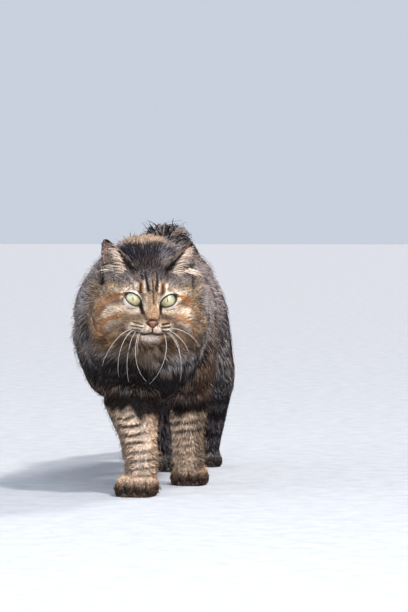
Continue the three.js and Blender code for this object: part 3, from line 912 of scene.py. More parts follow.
class Sheet:
    """A short way to add nodes to a material or a group and to join them."""

    def __init__(self, tree):
        self.tree = tree

    def node(self, kind, **settings):
        made = self.tree.nodes.new(kind)
        for key, value in settings.items():
            setattr(made, key, value)
        return made

    def put(self, value, socket):
        if isinstance(value, bpy.types.NodeSocket):
            self.tree.links.new(value, socket)
        else:
            socket.default_value = value

    def attribute(self, name):
        return self.node("ShaderNodeAttribute", attribute_name=name).outputs["Fac"]

    def math(self, operation, a, b=0.0, clamp=False):
        made = self.node("ShaderNodeMath", operation=operation, use_clamp=clamp)
        self.put(a, made.inputs[0])
        self.put(b, made.inputs[1])
        return made.outputs[0]

    def mix(self, amount, a, b, blend="MIX"):
        made = self.node("ShaderNodeMix", data_type="RGBA", blend_type=blend)
        self.put(amount, made.inputs["Factor"])
        self.put(a, made.inputs["A"])
        self.put(b, made.inputs["B"])
        return made.outputs["Result"]

    def ramp(self, amount, stops):
        made = self.node("ShaderNodeValToRGB")
        self.put(amount, made.inputs["Fac"])
        elements = made.color_ramp.elements
        while len(elements) < len(stops):
            elements.new(0.5)
        for element, (place, shade) in zip(elements, stops):
            element.position = place
            element.color = shade
        return made.outputs["Color"]

    def noise(self, scale, detail=3.0, rough=0.55):
        place = self.node("ShaderNodeTexCoord").outputs["Object"]
        made = self.node("ShaderNodeTexNoise")
        self.put(place, made.inputs["Vector"])
        self.put(scale, made.inputs["Scale"])
        self.put(detail, made.inputs["Detail"])
        self.put(rough, made.inputs["Roughness"])
        return made.outputs["Fac"]

    def bump(self, surface, height, strength, distance):
        made = self.node("ShaderNodeBump")
        self.put(strength, made.inputs["Strength"])
        self.put(distance, made.inputs["Distance"])
        self.put(height, made.inputs["Height"])
        self.put(made.outputs["Normal"], surface.inputs["Normal"])


def new_material(name):
    material = bpy.data.materials.new(name)
    material.use_nodes = True
    sheet = Sheet(material.node_tree)
    return material, sheet, material.node_tree.nodes["Principled BSDF"]


def new_group(name, inputs, outputs):
    tree = bpy.data.node_groups.new(name, "ShaderNodeTree")
    for label in inputs:
        tree.interface.new_socket(label, in_out="INPUT", socket_type="NodeSocketFloat")
    for label in outputs:
        tree.interface.new_socket(label, in_out="OUTPUT", socket_type="NodeSocketColor")
    sheet = Sheet(tree)
    return tree, sheet, sheet.node("NodeGroupInput"), sheet.node("NodeGroupOutput")


# %% [markdown]
# The group below is built once and placed in every material of the coat and in the skin's. It is
# given the masks and puts out one colour. Ginger hair has no black bands, and cream hair is only
# a little darker at its root. Dark, ginger and cream locks could have materials of their own, but
# then patches would meet at hard edges. One group that mixes them keeps the edges soft.

# %% The colour of hair
HAIR_CODES = {
    "undercoat": "4b4644",
    "tan": "ab9c8b",
    "warm tan": "bca68d",
    "dark tip": "2a2625",
    "black": "101117",
    "black brown": "241b17",
    "ginger": "cc8438",
    "ginger tip": "b06a2c",
    "cream": "fff1e4",
    "cream root": "c4b5a6",
}
HAIR = {name: colour(code) for name, code in HAIR_CODES.items()}
hair_colour, sheet, given, out = new_group(
    "hair colour", ("Dark", "Rust", "Pale", "Along", "Shade", "Guard"), ("Color",)
)
along, shade = given.outputs["Along"], given.outputs["Shade"]
BANDED = [(0.0, "undercoat"), (0.35, "undercoat"), (0.62, "tan"), (0.86, "warm tan"), (1.0, "dark tip")]
GUARD = [(0.0, "undercoat"), (0.5, "tan"), (0.75, "dark tip"), (1.0, "dark tip")]
banded, guard = (
    sheet.ramp(along, [(place, HAIR[name]) for place, name in stops]) for stops in (BANDED, GUARD)
)
agouti = sheet.mix(sheet.math("GREATER_THAN", shade, given.outputs["Guard"]), banded, guard)
black = sheet.mix(along, HAIR["black"], HAIR["black brown"])
ginger = sheet.mix(along, HAIR["ginger"], HAIR["ginger tip"])
cream = sheet.mix(along, HAIR["cream root"], HAIR["cream"])
mixed = sheet.mix(given.outputs["Rust"], agouti, ginger)
mixed = sheet.mix(given.outputs["Pale"], mixed, cream)
deep = sheet.math("MULTIPLY", sheet.math("SUBTRACT", given.outputs["Dark"], 0.04), 1.35, True)
mixed = sheet.mix(deep, mixed, black)
light = sheet.math("ADD", sheet.math("MULTIPLY", shade, 0.9), 0.6)
lit = sheet.node("ShaderNodeHueSaturation")
sheet.put(mixed, lit.inputs["Color"])
sheet.put(light, lit.inputs["Value"])
sheet.put(lit.outputs["Color"], out.inputs["Color"])
print("hair colour:", len(hair_colour.nodes), "nodes")

# %% [markdown]
# Four parts of the coat differ in warmth: the face, the ears, the body and the forelegs. Each has a
# tint of its own. Hair is rough and hardly shines, so its gloss is low. The skin shows between the
# locks and takes the same markings, with bare pink in the ears, black on the lips, and painted shade in
# the clefts between the toes.


# %% Materials of the coat and the skin
# Painted sky cast, in part: coolness turns a colour towards this grey-blue, for grey hair and for blue
# sky light in shade.
GREYER_AND_SKY_BLUE = (0.9, 1.0, 1.42, 1)  # what coolness turns a colour towards


def hair_material(name, guard_from, tint, golden=(1, 1, 1)):
    """guard_from: locks with a higher shade are guard hairs. golden tints the ginger places."""
    material, sheet, surface = new_material(name)
    group = sheet.node("ShaderNodeGroup", node_tree=hair_colour)
    for label in ("Dark", "Rust", "Pale", "Along", "Shade"):
        sheet.put(sheet.attribute(label.lower()), group.inputs[label])
    group.inputs["Guard"].default_value = guard_from
    mottle = sheet.noise(55.0, 4.0)
    tone = sheet.ramp(mottle, [(0.3, (0.78, 0.78, 0.8, 1)), (0.7, (1.0, 1.0, 0.98, 1))])
    tinted = sheet.mix(1.0, group.outputs["Color"], tint + (1,), "MULTIPLY")
    warmed = sheet.mix(1.0, tinted, golden + (1,), "MULTIPLY")
    tinted = sheet.mix(sheet.attribute("rust"), tinted, warmed)
    sky_cooled = sheet.mix(1.0, tinted, GREYER_AND_SKY_BLUE, "MULTIPLY")
    tinted = sheet.mix(sheet.attribute("cool_and_sky"), tinted, sky_cooled)
    sheet.put(sheet.mix(1.0, tinted, tone, "MULTIPLY"), surface.inputs["Base Color"])
    rough = sheet.math("ADD", sheet.math("MULTIPLY", mottle, 0.15), 0.76)
    sheet.put(rough, surface.inputs["Roughness"])
    surface.inputs["Specular IOR Level"].default_value = 0.15
    return material


# The body's blue-grey tint is partly the coat's ash-grey ticking and partly a painted cast of blue sky
# light on its shaded side.
body_coat = hair_material("body coat", 0.55, (1.0, 1.06, 1.27), (1.0, 1.02, 0.76))
face_coat = hair_material("face coat", 0.74, (1.12, 1.04, 0.96), (1.0, 1.02, 0.9))
ear_coat = hair_material("ear coat", 0.74, (1.2, 1.1, 1.03))
leg_coat = hair_material("leg coat", 0.7, (1.36, 1.18, 1.0))

skin_paint, sheet, surface = new_material("skin")
group = sheet.node("ShaderNodeGroup", node_tree=hair_colour)
for label in ("Dark", "Rust", "Pale"):
    sheet.put(sheet.attribute(label.lower()), group.inputs[label])
speckle = sheet.noise(900.0, 2.0)
group.inputs["Along"].default_value = 0.45
group.inputs["Guard"].default_value = 0.8
sheet.put(speckle, group.inputs["Shade"])
bare = sheet.mix(sheet.noise(140.0), colour("8a5a50"), colour("b98a7c"))
shown = sheet.mix(sheet.attribute("bare"), group.outputs["Color"], bare)
# The rim value gives the lids and lips their black skin, and paints shade into the clefts between the
# toes.
rim = sheet.mix(sheet.attribute("rim"), shown, colour("1a1614"))
sheet.put(rim, surface.inputs["Base Color"])
wet = sheet.math("MULTIPLY", sheet.attribute("rim"), 0.35)
sheet.put(sheet.math("SUBTRACT", 0.75, wet), surface.inputs["Roughness"])
sheet.bump(surface, speckle, 0.35, 0.0006)
print("materials:", [material.name for material in bpy.data.materials])

# %% [markdown]
# ## The coat
# Each lock is a closed, three-sided, curved spike. It starts a little below the skin, follows the
# lie of the coat, and ends at the solids' surface. Locks near each other share a clump that draws
# their tips together, as in real long hair. Short locks on the face, feet and ears have fewer
# faces. Blender's own hair curves are finer, but they aren't meshes, and a model that leaves
# Blender needs meshes. Flat strips are lighter, but they vanish when seen from the side.

# %% Hair round the eyes and the mouth
skin_normal = unit(soften(skin_facing, 3))
skin_bvh = BVHTree.FromPolygons(skin.tolist(), triangles.tolist())
skin_local = to_head(skin)
on_face = face_share(skin_local)
eye_share = np.full(len(skin), 9.0)
for side in ("left", "right"):
    a, b, c = in_eye(skin_local, side).T
    share = np.where((c > -9), opening_share(a, b), 9)
    eye_share = np.minimum(eye_share, share)
    axes = eye_axes(side)
    spread = unit(np.outer(a, axes[0]) + np.outer(b, axes[1])) @ HEAD_AXES
    lie += (ramp(share, 2.9, 1.3) * 1.4)[:, None] * spread
length = length * (0.5 + 0.5 * ramp(eye_share, 1.1, 2.2))
x, y, z = skin_local.T
mouth_near = stroke(x, z, MIDDLE_STROKES["mouth"][3], 3.0) * ramp(y, 8, -2)
length = length * (1 - 0.45 * mouth_near)
lie = unit(lie)
print("points near an eye:", int((eye_share < 2).sum()))

# %% [markdown]
# The coat doesn't stand equally high everywhere. A tuft rises along the top of the rump. The flank
# is a little hollow behind the left shoulder, the paws are close-haired, the ankles are fuller,
# and the right arm is fluffy on its outside. Each is a mask times a share of the coat's height.

# %% Where the coat stands higher or lower
at_x, at_y, at_z = skin.T
rump = ramp(at_y, -0.02, 0.03) * ramp(at_y, 0.11, 0.07) * ramp(skin_normal[:, 2], 0.5, 0.9)
tuft = rump * ramp(np.abs(at_x + 0.014), 0.022, 0.006)
rise *= (1 + 0.3 * rump * ramp(at_x, 0.012, -0.004) + 0.45 * tuft)[:, None]
lowered = ramp(at_y, -0.03, 0.02) * ramp(at_y, 0.16, 0.12) * ramp(at_z, 0.235, 0.26)
lowered *= ramp(at_x, 0.004, 0.020) * ramp(at_x, 0.042, 0.026)
rise *= (1 - 0.4 * lowered)[:, None]
hollow = ramp(at_x, 0.030, 0.050) * ramp(at_y, -0.06, -0.01) * ramp(at_z, 0.11, 0.15)
hollow *= ramp(at_z, 0.27, 0.245) * ramp(np.abs(skin_normal[:, 0]), 0.4, 0.75)
rise *= (1 - 0.42 * hollow)[:, None]
paws = (share_of["forepaw"] + share_of["hind_paw"]) * ramp(at_z, 0.017, 0.024)
rise *= (1 - 0.6 * np.clip(paws, 0, 1))[:, None]
ankles = (share_of["forearm"] + share_of["forepaw"]) * ramp(at_z, 0.020, 0.029)
ankles *= ramp(at_z, 0.062, 0.046)
rise += (2.6 * MM * ankles)[:, None] * unit(skin_normal * [1, 1, 0.2])
fluffy = share_of["upper_arm"] * ramp(skin_normal[:, 0], -0.3, -0.8)
rise *= (1 + 0.3 * fluffy)[:, None]
print("height of the coat: at most", round(float(np.linalg.norm(rise, axis=1).max() / MM)), "mm")

# %% [markdown]
# A lock's foot is a random place on a random triangle, and big triangles get more of them. What a
# lock needs from the skin is blended from the triangle's three corners.

# %% Places on the skin
# The cup of each ear faces forward and is thinly haired.
in_cup = share_of["ear"] * ramp(skin_facing @ HEAD_AXES[1], 0.1, -0.4)

first, second, third = (skin[triangles[:, i]] for i in range(3))
TRIANGLE_AREA = 0.5 * np.linalg.norm(np.cross(second - first, third - first), axis=1)
print("skin area:", round(float(TRIANGLE_AREA.sum()), 3), "square metres")


def blend(values, corners, weights):
    """The value at places inside triangles, from the values at their corners."""
    picked = values[corners]
    weights = weights.reshape(weights.shape + (1,) * (picked.ndim - 2))
    return (picked * weights).sum(axis=1)


def on_skin(points):
    """The nearest place on the skin for each point: the place, its triangle and its weights."""
    place = np.empty_like(points)
    which = np.empty(len(points), np.int64)
    for i, point in enumerate(points):
        found = skin_bvh.find_nearest(Vector(point))
        place[i] = found[0]
        which[i] = found[2]
    corners = triangles[which]
    a, b, c = (skin[corners[:, i]] for i in range(3))
    v0, v1, v2 = b - a, c - a, place - a
    d00, d01, d11 = (v0 * v0).sum(1), (v0 * v1).sum(1), (v1 * v1).sum(1)
    d20, d21 = (v2 * v0).sum(1), (v2 * v1).sum(1)
    below = np.maximum(d00 * d11 - d01 * d01, 1e-18)
    v = np.clip((d11 * d20 - d01 * d21) / below, 0, 1)
    w = np.clip((d00 * d21 - d01 * d20) / below, 0, 1 - v)
    return place, corners, np.stack([1 - v - w, v, w], axis=1)


def scatter(rng, many, wanted):
    """Random places on the skin; wanted is how thickly they lie at each point of it."""
    chance = np.cumsum(TRIANGLE_AREA * wanted[triangles].mean(axis=1))
    picked = np.searchsorted(chance, rng.random(many) * chance[-1])
    a, b = rng.random(many), rng.random(many)
    root = np.sqrt(a)
    weights = np.stack([1 - root, root * (1 - b), root * b], axis=1)
    return triangles[picked], weights


# %% [markdown]
# A lock is walked over the skin in two steps along the lie of the coat. Its middle and its tip
# then stand off the skin by the height of the coat, so that it never cuts into the body.


# %% The run of a lock
FOOT_UNDER = 0.8  # mm that a lock starts below the skin


def lay_out(corners, weights, rng, swing, stand):
    """Foot, middle and tip of each lock, and the direction across it at its foot."""
    many = len(corners)
    foot = blend(skin, corners, weights)
    up = unit(blend(skin_normal, corners, weights))
    run = blend(lie, corners, weights)
    run = unit(run - up * (run * up).sum(1, keepdims=True))
    side = np.cross(up, run)
    turn = rng.normal(0, swing, many)[:, None]
    run = run * np.cos(turn) + side * np.sin(turn)
    lift = blend(rise, corners, weights)
    tall = np.linalg.norm(lift, axis=1)
    long = blend(length, corners, weights) * MM * rng.uniform(0.75, 1.2, many)
    reach = np.sqrt(np.maximum(long**2 - tall**2, (0.45 * long) ** 2))[:, None]
    half = reach * 0.5
    near, near_corners, near_weights = on_skin(foot + run * half)
    near_up = unit(blend(skin_normal, near_corners, near_weights))
    ahead = unit(run + 0.5 * unit(blend(lie, near_corners, near_weights)))
    ahead = unit(ahead - near_up * (ahead * near_up).sum(1, keepdims=True))
    far, far_corners, far_weights = on_skin(near + ahead * half)
    middle = near + blend(rise, near_corners, near_weights) * 0.84 * stand
    stray = blend(tuft, corners, weights) * rng.random(many)
    high = (rng.uniform(0.94, 1.18, many) + 0.36 * stray)[:, None] * stand
    tip = far + blend(rise, far_corners, far_weights) * high
    # Where the skin ends under a lock, such as past a toe, the lock runs on a little by itself.
    free = np.linalg.norm(far - near - ahead * half, axis=1) > 0.6 * half[:, 0]
    tip[free] = (near + ahead * half * 0.45 + lift * high * 0.9)[free]
    tip -= ahead * half * 0.8 * stray[:, None]
    return foot - up * FOOT_UNDER * MM, middle, tip, np.cross(up, run)


# %% [markdown]
# Every lock of a kind has the same few faces. A long one has three rings and a tip, a short one
# has two. Rings hold where they lie along the lock, how thick the lock is there, and which part
# of the hair's bands they show.

# %% The shape of a lock
RINGS = {"long": (0.0, 0.34, 0.68), "short": (0.0, 0.5)}
SHOWN = {"long": (0.0, 0.42, 0.76, 1.0), "short": (0.25, 0.68, 1.0)}  # how far along the banding
GIRTH = {"long": (0.75, 1.0, 0.72), "short": (0.8, 1.0)}


def lock_faces(kind):
    """The corners of one lock's triangles, and the side of the spike that each lies on."""
    last = len(RINGS[kind]) - 1
    tip = 3 * last + 3
    faces, sides = [(0, 1, 2)], [0]
    for ring in range(last):
        a, b = 3 * ring, 3 * ring + 3
        for k in range(3):
            j = (k + 1) % 3
            faces += [(a + k, b + k, b + j), (a + k, b + j, a + j)]
            sides += [k, k]
    for k in range(3):
        faces.append((3 * last + k, tip, 3 * last + (k + 1) % 3))
        sides.append(k)
    return np.array(faces), np.array(sides)


def lock_points(kind, foot, middle, tip, side, half):
    """Three points round each ring of each lock and then its tip, none of them under the floor."""
    layers = []
    for s, girth in zip(RINGS[kind], GIRTH[kind]):
        centre = foot * (1 - s) * (1 - 2 * s) + middle * 4 * s * (1 - s) + tip * s * (2 * s - 1)
        ahead = unit(foot * (4 * s - 3) + middle * (4 - 8 * s) + tip * (4 * s - 1))
        across = unit(side - ahead * (side * ahead).sum(1, keepdims=True))
        above = np.cross(ahead, across) * -1
        for way, height in ((-1, -0.2), (1, -0.2), (0, 0.5)):
            layers.append(centre + (across * way + above * height) * half * girth)
    layers.append(tip)
    points = np.stack(layers, axis=1)
    points[:, :, 2] = np.maximum(points[:, :, 2], 0.0)
    return points


def facing_out(faces, lock):
    """The faces, turned round if they look into the lock."""
    a, b, c = (lock[faces[:, i]] - lock.mean(axis=0) for i in range(3))
    inside_out = np.einsum("ij,ij->i", a, np.cross(b, c)).sum() < 0
    return faces[:, ::-1] if inside_out else faces


print("triangles in a lock:", {kind: len(lock_faces(kind)[0]) for kind in RINGS})

# %% [markdown]
# Long hair gathers in clumps. Some locks are heads, and every other lock leans towards the
# nearest head, most of all at its tip.


# %% Clumps
def nearest_of(heads, places):
    """The number of the nearest head for each place."""
    tree = KDTree(len(heads))
    for i, point in enumerate(heads):
        tree.insert(point, i)
    tree.balance()
    return np.array([tree.find(point)[1] for point in places])


# %% [markdown]
# Each point of a lock carries the values that the material reads: the three masks, the coolness,
# the place along the hair's bands and the lock's own shade. A long lock has one set of masks. A
# short one takes them anew at each ring, for crisp bars on the legs.


# %% Values on the locks
def paint_locks(piece, kind, places, facing, share, uneven, own_shade):
    foot, middle, tip = places
    rows = 3 * len(RINGS[kind]) + 1
    if kind == "long":
        seen, seen_at = [middle * 0.6 + tip * 0.4], [0] * rows
    else:
        seen, seen_at = [foot, middle, tip], [0] * 3 + [1] * 3 + [2]
    marks = [marks_at(place, facing, share) for place in seen]
    for mask in marks[0]:
        values = np.stack([one[mask] for one in marks], axis=1) * uneven
        add_value(piece, mask, np.clip(values, 0, 1)[:, seen_at].ravel())
    add_value(piece, "cool_and_sky", np.repeat(coolness_and_sky_cast(seen[-1], share), rows))
    banding = np.concatenate([np.repeat(SHOWN[kind][:-1], 3), [1.0]])
    add_value(piece, "along", np.tile(banding, len(foot)))
    add_value(piece, "shade", np.repeat(own_shade, rows))


# %% [markdown]
# To bake the colours, every piece of the coat needs a flat map. The piece is rolled out round an
# axis, and each lock gets a small patch of the map where it stands, so that neighbours in the
# coat are neighbours on the map.

# %% Bake map of the locks
PATCH = 0.003  # the side of a lock's patch, as a share of the map


def unwrap(points, axis):
    """Rolls the piece's own shape out flat round the given axis, into the unit square."""
    others = [i for i in range(3) if i != axis]
    flat = points[:, others] - points.mean(axis=0)[others]
    angle = np.arctan2(flat[:, 1], flat[:, 0])
    run = points[:, axis]
    u = (angle + math.pi) / (2 * math.pi)
    v = (run - run.min()) / max(float(np.ptp(run)), 1e-9)
    return 0.012 + 0.972 * u, 0.012 + 0.972 * v


def map_locks(piece, kind, faces, sides, foot, axis):
    place = np.concatenate([np.repeat(RINGS[kind], 3), [1.0]])
    corner = faces.ravel()
    side = np.repeat(sides, 3)
    tip = len(place) - 1
    right = np.where((corner % 3 == (side + 1) % 3) & (corner < tip), 1.0, 0.0)
    right = np.where(corner == tip, 0.5, right)
    patch_u = (side + right) / 3
    patch_v = place[corner]
    patch_u[:3], patch_v[:3] = (0.0, 0.3, 0.15), (0.0, 0.0, 0.06)
    u, v = unwrap(foot, axis)
    all_u = u[:, None] + (patch_u[None] - 0.5) * PATCH
    all_v = v[:, None] + (patch_v[None] - 0.5) * PATCH
    bake = piece.data.uv_layers.new(name="OFBake")
    bake.data.foreach_set("uv", np.stack([all_u, all_v], axis=2).astype(np.float32).ravel())


# %% [markdown]
# Now one function can grow a whole piece of the coat. Its random values come from a seed of its
# own, so that the same coat grows each time.


# %% One piece of the coat
def grow(name, material, kind, many, wanted, width, swing=0.2, clump=9.0, gather=0.4, stand=1.0,
         axis=1, seed=1, mixing=0.45):
    """width and clump are in mm, swing is in radians, and stand is a share of the coat's height."""
    rng = np.random.default_rng(seed)
    corners, weights = scatter(rng, many, wanted)
    foot, middle, tip, side = lay_out(corners, weights, rng, swing, stand)
    if clump:
        area = float((TRIANGLE_AREA * wanted[triangles].mean(axis=1)).sum()) / max(wanted.max(), 1e-9)
        heads = max(8, int(area / (clump * MM) ** 2))
        head_foot, head_middle, head_tip, _ = lay_out(
            *scatter(rng, heads, wanted), rng, swing * 0.8, stand
        )
        mine = nearest_of(head_foot, foot)
        pull = (gather * rng.uniform(0.5, 1.4, many))[:, None]
        tip = tip + (head_tip[mine] - tip) * pull
        middle = middle + (head_middle[mine] - middle) * pull * 0.45
    half = width * MM / 2 * rng.uniform(0.7, 1.3, many)[:, None]
    points = lock_points(kind, foot, middle, tip, side, half)
    rows = points.shape[1]
    faces, sides = lock_faces(kind)
    faces = facing_out(faces, points[0])
    all_faces = (np.arange(many)[:, None, None] * rows + faces[None]).reshape(-1, 3)
    piece = mesh_from(name, points.reshape(-1, 3), all_faces)

    share = {k: np.clip(blend(v, corners, weights), 0, 1) for k, v in share_of.items()}
    facing = blend(unit(broad_facing), corners, weights)
    uneven = rng.uniform(1 - mixing, 1 + 0.4 * mixing, many)[:, None]
    own_shade = rng.random(many)
    if clump:
        own_shade = 0.45 * own_shade + 0.55 * rng.random(heads)[mine]
    else:
        own_shade = np.clip(own_shade + 0.25 * drift(foot, 0.012, 3), 0, 1)
    paint_locks(piece, kind, (foot, middle, tip), facing, share, uneven, own_shade)
    map_locks(piece, kind, faces, sides, foot, axis)
    piece.data.materials.append(material)
    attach(piece, "root")
    print(f"{name}: {many} locks, {len(all_faces)} triangles")


# %% [markdown]
# Where each piece of the coat grows. The head's front has the finest and thickest-set locks. No lock
# grows inside the eyes' openings or on the lips, and only a few grow in the cup of the ears.

# %% Where hair grows
TRUNK_MIDDLE = -0.006
away_from_eye = ramp(eye_share, 1.09, 1.2)
clear = away_from_eye * (1 - ramp(mouth_near, 0.75, 0.98)) * (1 - 0.72 * in_cup)
nose_gap = np.exp(-((x / 7.5) ** 2) - ((z + 29) / 4.6) ** 2) * ramp(y, -8, -14)
clear = clear * (1 - ramp(nose_gap, 0.35, 0.7))
clear = clear * (1 - 0.9 * cleft)
is_kind = {k: np.clip(v, 0, 1) for k, v in share_of.items()}
head_skin = is_kind["head"]
left_side = (skin[:, 0] > TRUNK_MIDDLE).astype(float)
on_forelegs = (is_kind["forearm"] + 1.3 * is_kind["forepaw"]) * (1 - 0.9 * cleft)
on_hind_legs = is_kind["shank"] + 1.3 * is_kind["hind_paw"]
outline = is_kind["neck"] + is_kind["trunk"] + is_kind["thigh"] + 0.8 * is_kind["upper_arm"]
before_tip = ramp(skin[:, 1], tail_stop - 0.026, tail_stop - 0.040)
print("share of the skin in the face:", round(float((head_skin * on_face).mean()), 2))

# %% [markdown]
# Three pieces cover the head: short, fine, single locks on the face, longer clumped ones on its
# sides and back, and short ones on the ears. They could be one piece, but each has its own
# length, thickness and tint, and a piece with too many triangles is slow to handle.

# %% Grow the head's coat
grow("coat_face", face_coat, "short", 16500, head_skin * on_face * clear,
     width=0.85, swing=0.16, clump=0, axis=0, seed=21)
grow("coat_head", face_coat, "long", 12300, head_skin * (1 - on_face) * clear,
     width=1.15, clump=6.0, gather=0.35, axis=0, seed=22, mixing=0.25)
grow("coat_ears", ear_coat, "short", 6000, is_kind["ear"] * clear,
     width=0.9, swing=0.15, clump=0, axis=2, seed=23)

# %% [markdown]
# The body's locks are long and clumped, and the legs' are short and lie singly. A few thin wisps
# stand out past the rest, on the body and on the forelegs, and break up the outline.

# %% Grow the body's coat
grow("coat_neck", body_coat, "long", 12000, is_kind["neck"], width=1.4, gather=0.45, seed=24)
grow("coat_trunk_left", body_coat, "long", 8700, is_kind["trunk"] * left_side,
     width=1.6, gather=0.45, seed=25)
grow("coat_trunk_right", body_coat, "long", 8700, is_kind["trunk"] * (1 - left_side),
     width=1.6, gather=0.45, seed=26)
grow("coat_hips", body_coat, "long", 7800, is_kind["thigh"],
     width=1.6, gather=0.45, axis=2, seed=27)
grow("coat_arms", body_coat, "long", 6000, is_kind["upper_arm"],
     width=1.3, clump=7.0, axis=2, seed=28, mixing=0.6)
grow("coat_forelegs", leg_coat, "short", 12000, on_forelegs,
     width=0.9, swing=0.16, clump=0, axis=2, seed=29, mixing=0.2)
grow("coat_leg_wisps", leg_coat, "short", 1100, is_kind["forearm"] + 0.7 * is_kind["forepaw"],
     width=0.6, swing=0.5, clump=0, stand=1.7, axis=2, seed=33, mixing=0.2)
grow("coat_hind_legs", body_coat, "short", 10000, on_hind_legs,
     width=1.2, clump=0, axis=2, seed=30)
grow("coat_wisps", body_coat, "long", 2400, outline + 0.7 * head_skin * (1 - on_face) * clear,
     width=0.7, swing=0.45, clump=0, stand=1.22, seed=32)
grow("coat_tail", body_coat, "long", 7200, is_kind["tail"] * before_tip,
     width=1.9, clump=10.0, seed=31)

# %% [markdown]
# The skin itself becomes one mesh. It is thinned where it is hidden under long hair, and the face
# keeps its fine triangles.

# %% The skin's mesh
SKIN_TRIANGLES = 180000
skin_piece = mesh_from("skin", skin, triangles)
for mask, values in skin_marks.items():
    add_value(skin_piece, mask, values)
add_value(skin_piece, "bare", np.clip(in_cup * 0.8, 0, 1))
lips_and_toe_shade = stroke(x, z, MIDDLE_STROKES["mouth"][3], 1.1) * ramp(y, 6, 0)
# Painted shade: the clefts between the toes are darkened with the lips' black.
lips_and_toe_shade = np.maximum(lips_and_toe_shade, 0.8 * cleft)
add_value(skin_piece, "rim", np.maximum(ramp(eye_share, 1.17, 1.08), 0.9 * lips_and_toe_shade))
hidden = skin_piece.vertex_groups.new(name="hidden")
loose = 1 - np.clip(np.maximum(on_face * head_skin, share_of["ear"]), 0, 1)
for level in range(1, 5):
    chosen = np.nonzero((loose * 4).round().astype(int) == level)[0]
    hidden.add(chosen.tolist(), level / 4, "REPLACE")
thin = skin_piece.modifiers.new("thin", "DECIMATE")
thin.ratio = min(1.0, SKIN_TRIANGLES / len(triangles))
thin.vertex_group = "hidden"
thin.vertex_group_factor = 4.0
thinned = bpy.data.meshes.new_from_object(
    skin_piece.evaluated_get(bpy.context.evaluated_depsgraph_get())
)
skin_piece.modifiers.clear()
skin_piece.vertex_groups.clear()
old = skin_piece.data
skin_piece.data = thinned
bpy.data.meshes.remove(old)
skin_piece.data.materials.clear()
skin_piece.data.materials.append(skin_paint)
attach(skin_piece, "root")
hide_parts(*flesh)
print("skin:", len(skin_piece.data.polygons), "triangles")
print("masks kept:", [a.name for a in skin_piece.data.attributes if a.domain == "POINT"])

# %% [markdown]
# ## The eyes
# Each eyeball is a ball with a slight bulge for the cornea in front. The iris is painted by rule:
# green at the rim, yellow round the pupil, with fine fibres. The pupil is a narrow upright slit,
# as in bright light. The eyes look straight at the viewer. An image of an iris could be put on
# the ball. A rule needs no image and stays sharp close up.

# %% Iris, pupil and cornea
IRIS_RADIUS = 10.0
eye_paint, sheet, surface = new_material("eye")
across, up = sheet.attribute("across"), sheet.attribute("up")
squares = sheet.math("ADD", sheet.math("MULTIPLY", across, across), sheet.math("MULTIPLY", up, up))
far_out = sheet.math("POWER", squares, 0.5)
iris = sheet.ramp(
    sheet.math("DIVIDE", far_out, IRIS_RADIUS),
    [
        (0.0, colour("bcab74")),
        (0.30, colour("cabf92")),
        (0.62, colour("bdb68e")),
        (0.82, colour("95967a")),
        (0.91, colour("3a443a")),
        (0.97, colour("14110f")),
    ],
)
spoke = sheet.node("ShaderNodeTexNoise", noise_dimensions="2D")
spin = sheet.node("ShaderNodeCombineXYZ")
sheet.put(sheet.math("MULTIPLY", sheet.math("ARCTAN2", up, across), 9.0), spin.inputs["X"])
sheet.put(sheet.math("MULTIPLY", far_out, 0.35), spin.inputs["Y"])
sheet.put(spin.outputs[0], spoke.inputs["Vector"])
spoke.inputs["Scale"].default_value = 1.0
spoke.inputs["Detail"].default_value = 3.0
fibres = sheet.ramp(spoke.outputs["Fac"], [(0.3, (0.7, 0.7, 0.66, 1)), (0.7, (1.0, 1.0, 1.0, 1))])
iris = sheet.mix(0.8, iris, fibres, "MULTIPLY")
# Painted shade and painted reflection: the top of the iris is darkened as if the upper lid shaded it,
# and tinted blue as if the cornea reflected the sky.
how_high = sheet.math("MULTIPLY", sheet.math("ADD", up, 8.0), 0.0625)
lid_shade_and_sky = sheet.ramp(how_high, [(0.55, (1, 1, 1, 1)), (0.85, (0.66, 0.82, 0.95, 1))])
iris = sheet.mix(1.0, iris, lid_shade_and_sky, "MULTIPLY")
# The slit: an ellipse pinched at its ends, a little above the middle.
SLIT_HALF_WIDTH = 0.75
SLIT_HALF_HEIGHT = 4.2
SLIT_RAISED = 1.2
off = sheet.math("ABSOLUTE", sheet.math("DIVIDE", across, SLIT_HALF_WIDTH))
wide = sheet.math("POWER", off, 1.4)
tall = sheet.math("DIVIDE", sheet.math("SUBTRACT", up, SLIT_RAISED), SLIT_HALF_HEIGHT)
slit = sheet.math("ADD", wide, sheet.math("POWER", sheet.math("ABSOLUTE", tall), 1.6))
pupil = sheet.ramp(slit, [(0.6, (0.95, 0.95, 0.95, 1)), (1.0, (0, 0, 0, 1))])
sheet.put(sheet.mix(pupil, iris, colour("1c2019")), surface.inputs["Base Color"])
surface.inputs["Roughness"].default_value = 0.3
surface.inputs["Coat Weight"].default_value = 1.0
surface.inputs["Coat Roughness"].default_value = 0.03
surface.inputs["Coat IOR"].default_value = 1.6
print("eye colour:", len(eye_paint.node_tree.nodes), "nodes")

# %% [markdown]
# The eyeballs and the nose leather are both balls of rings about an axis, pressed into shape point
# by point, so they share one way of numbering their points and faces.


# %% Balls of rings
def ball_turns(rows, around):
    """The angle from the front and the turn about the axis of each point."""
    for i in range(rows + 1):
        for j in range(around):
            yield math.pi * (i + 0.5) / (rows + 1), 2 * math.pi * j / around


def ball_faces(rows, around):
    """Triangles of the rings, and of a cap on a point in front and on one behind."""
    faces = []
    for i in range(rows):
        for j in range(around):
            p, q = i * around + j, i * around + (j + 1) % around
            faces += [(p, p + around, q + around), (p, q + around, q)]
    front, back = (rows + 1) * around, (rows + 1) * around + 1
    last = rows * around
    for j in range(around):
        k = (j + 1) % around
        faces += [(front, j, k), (back, last + k, last + j)]
    return np.array(faces)

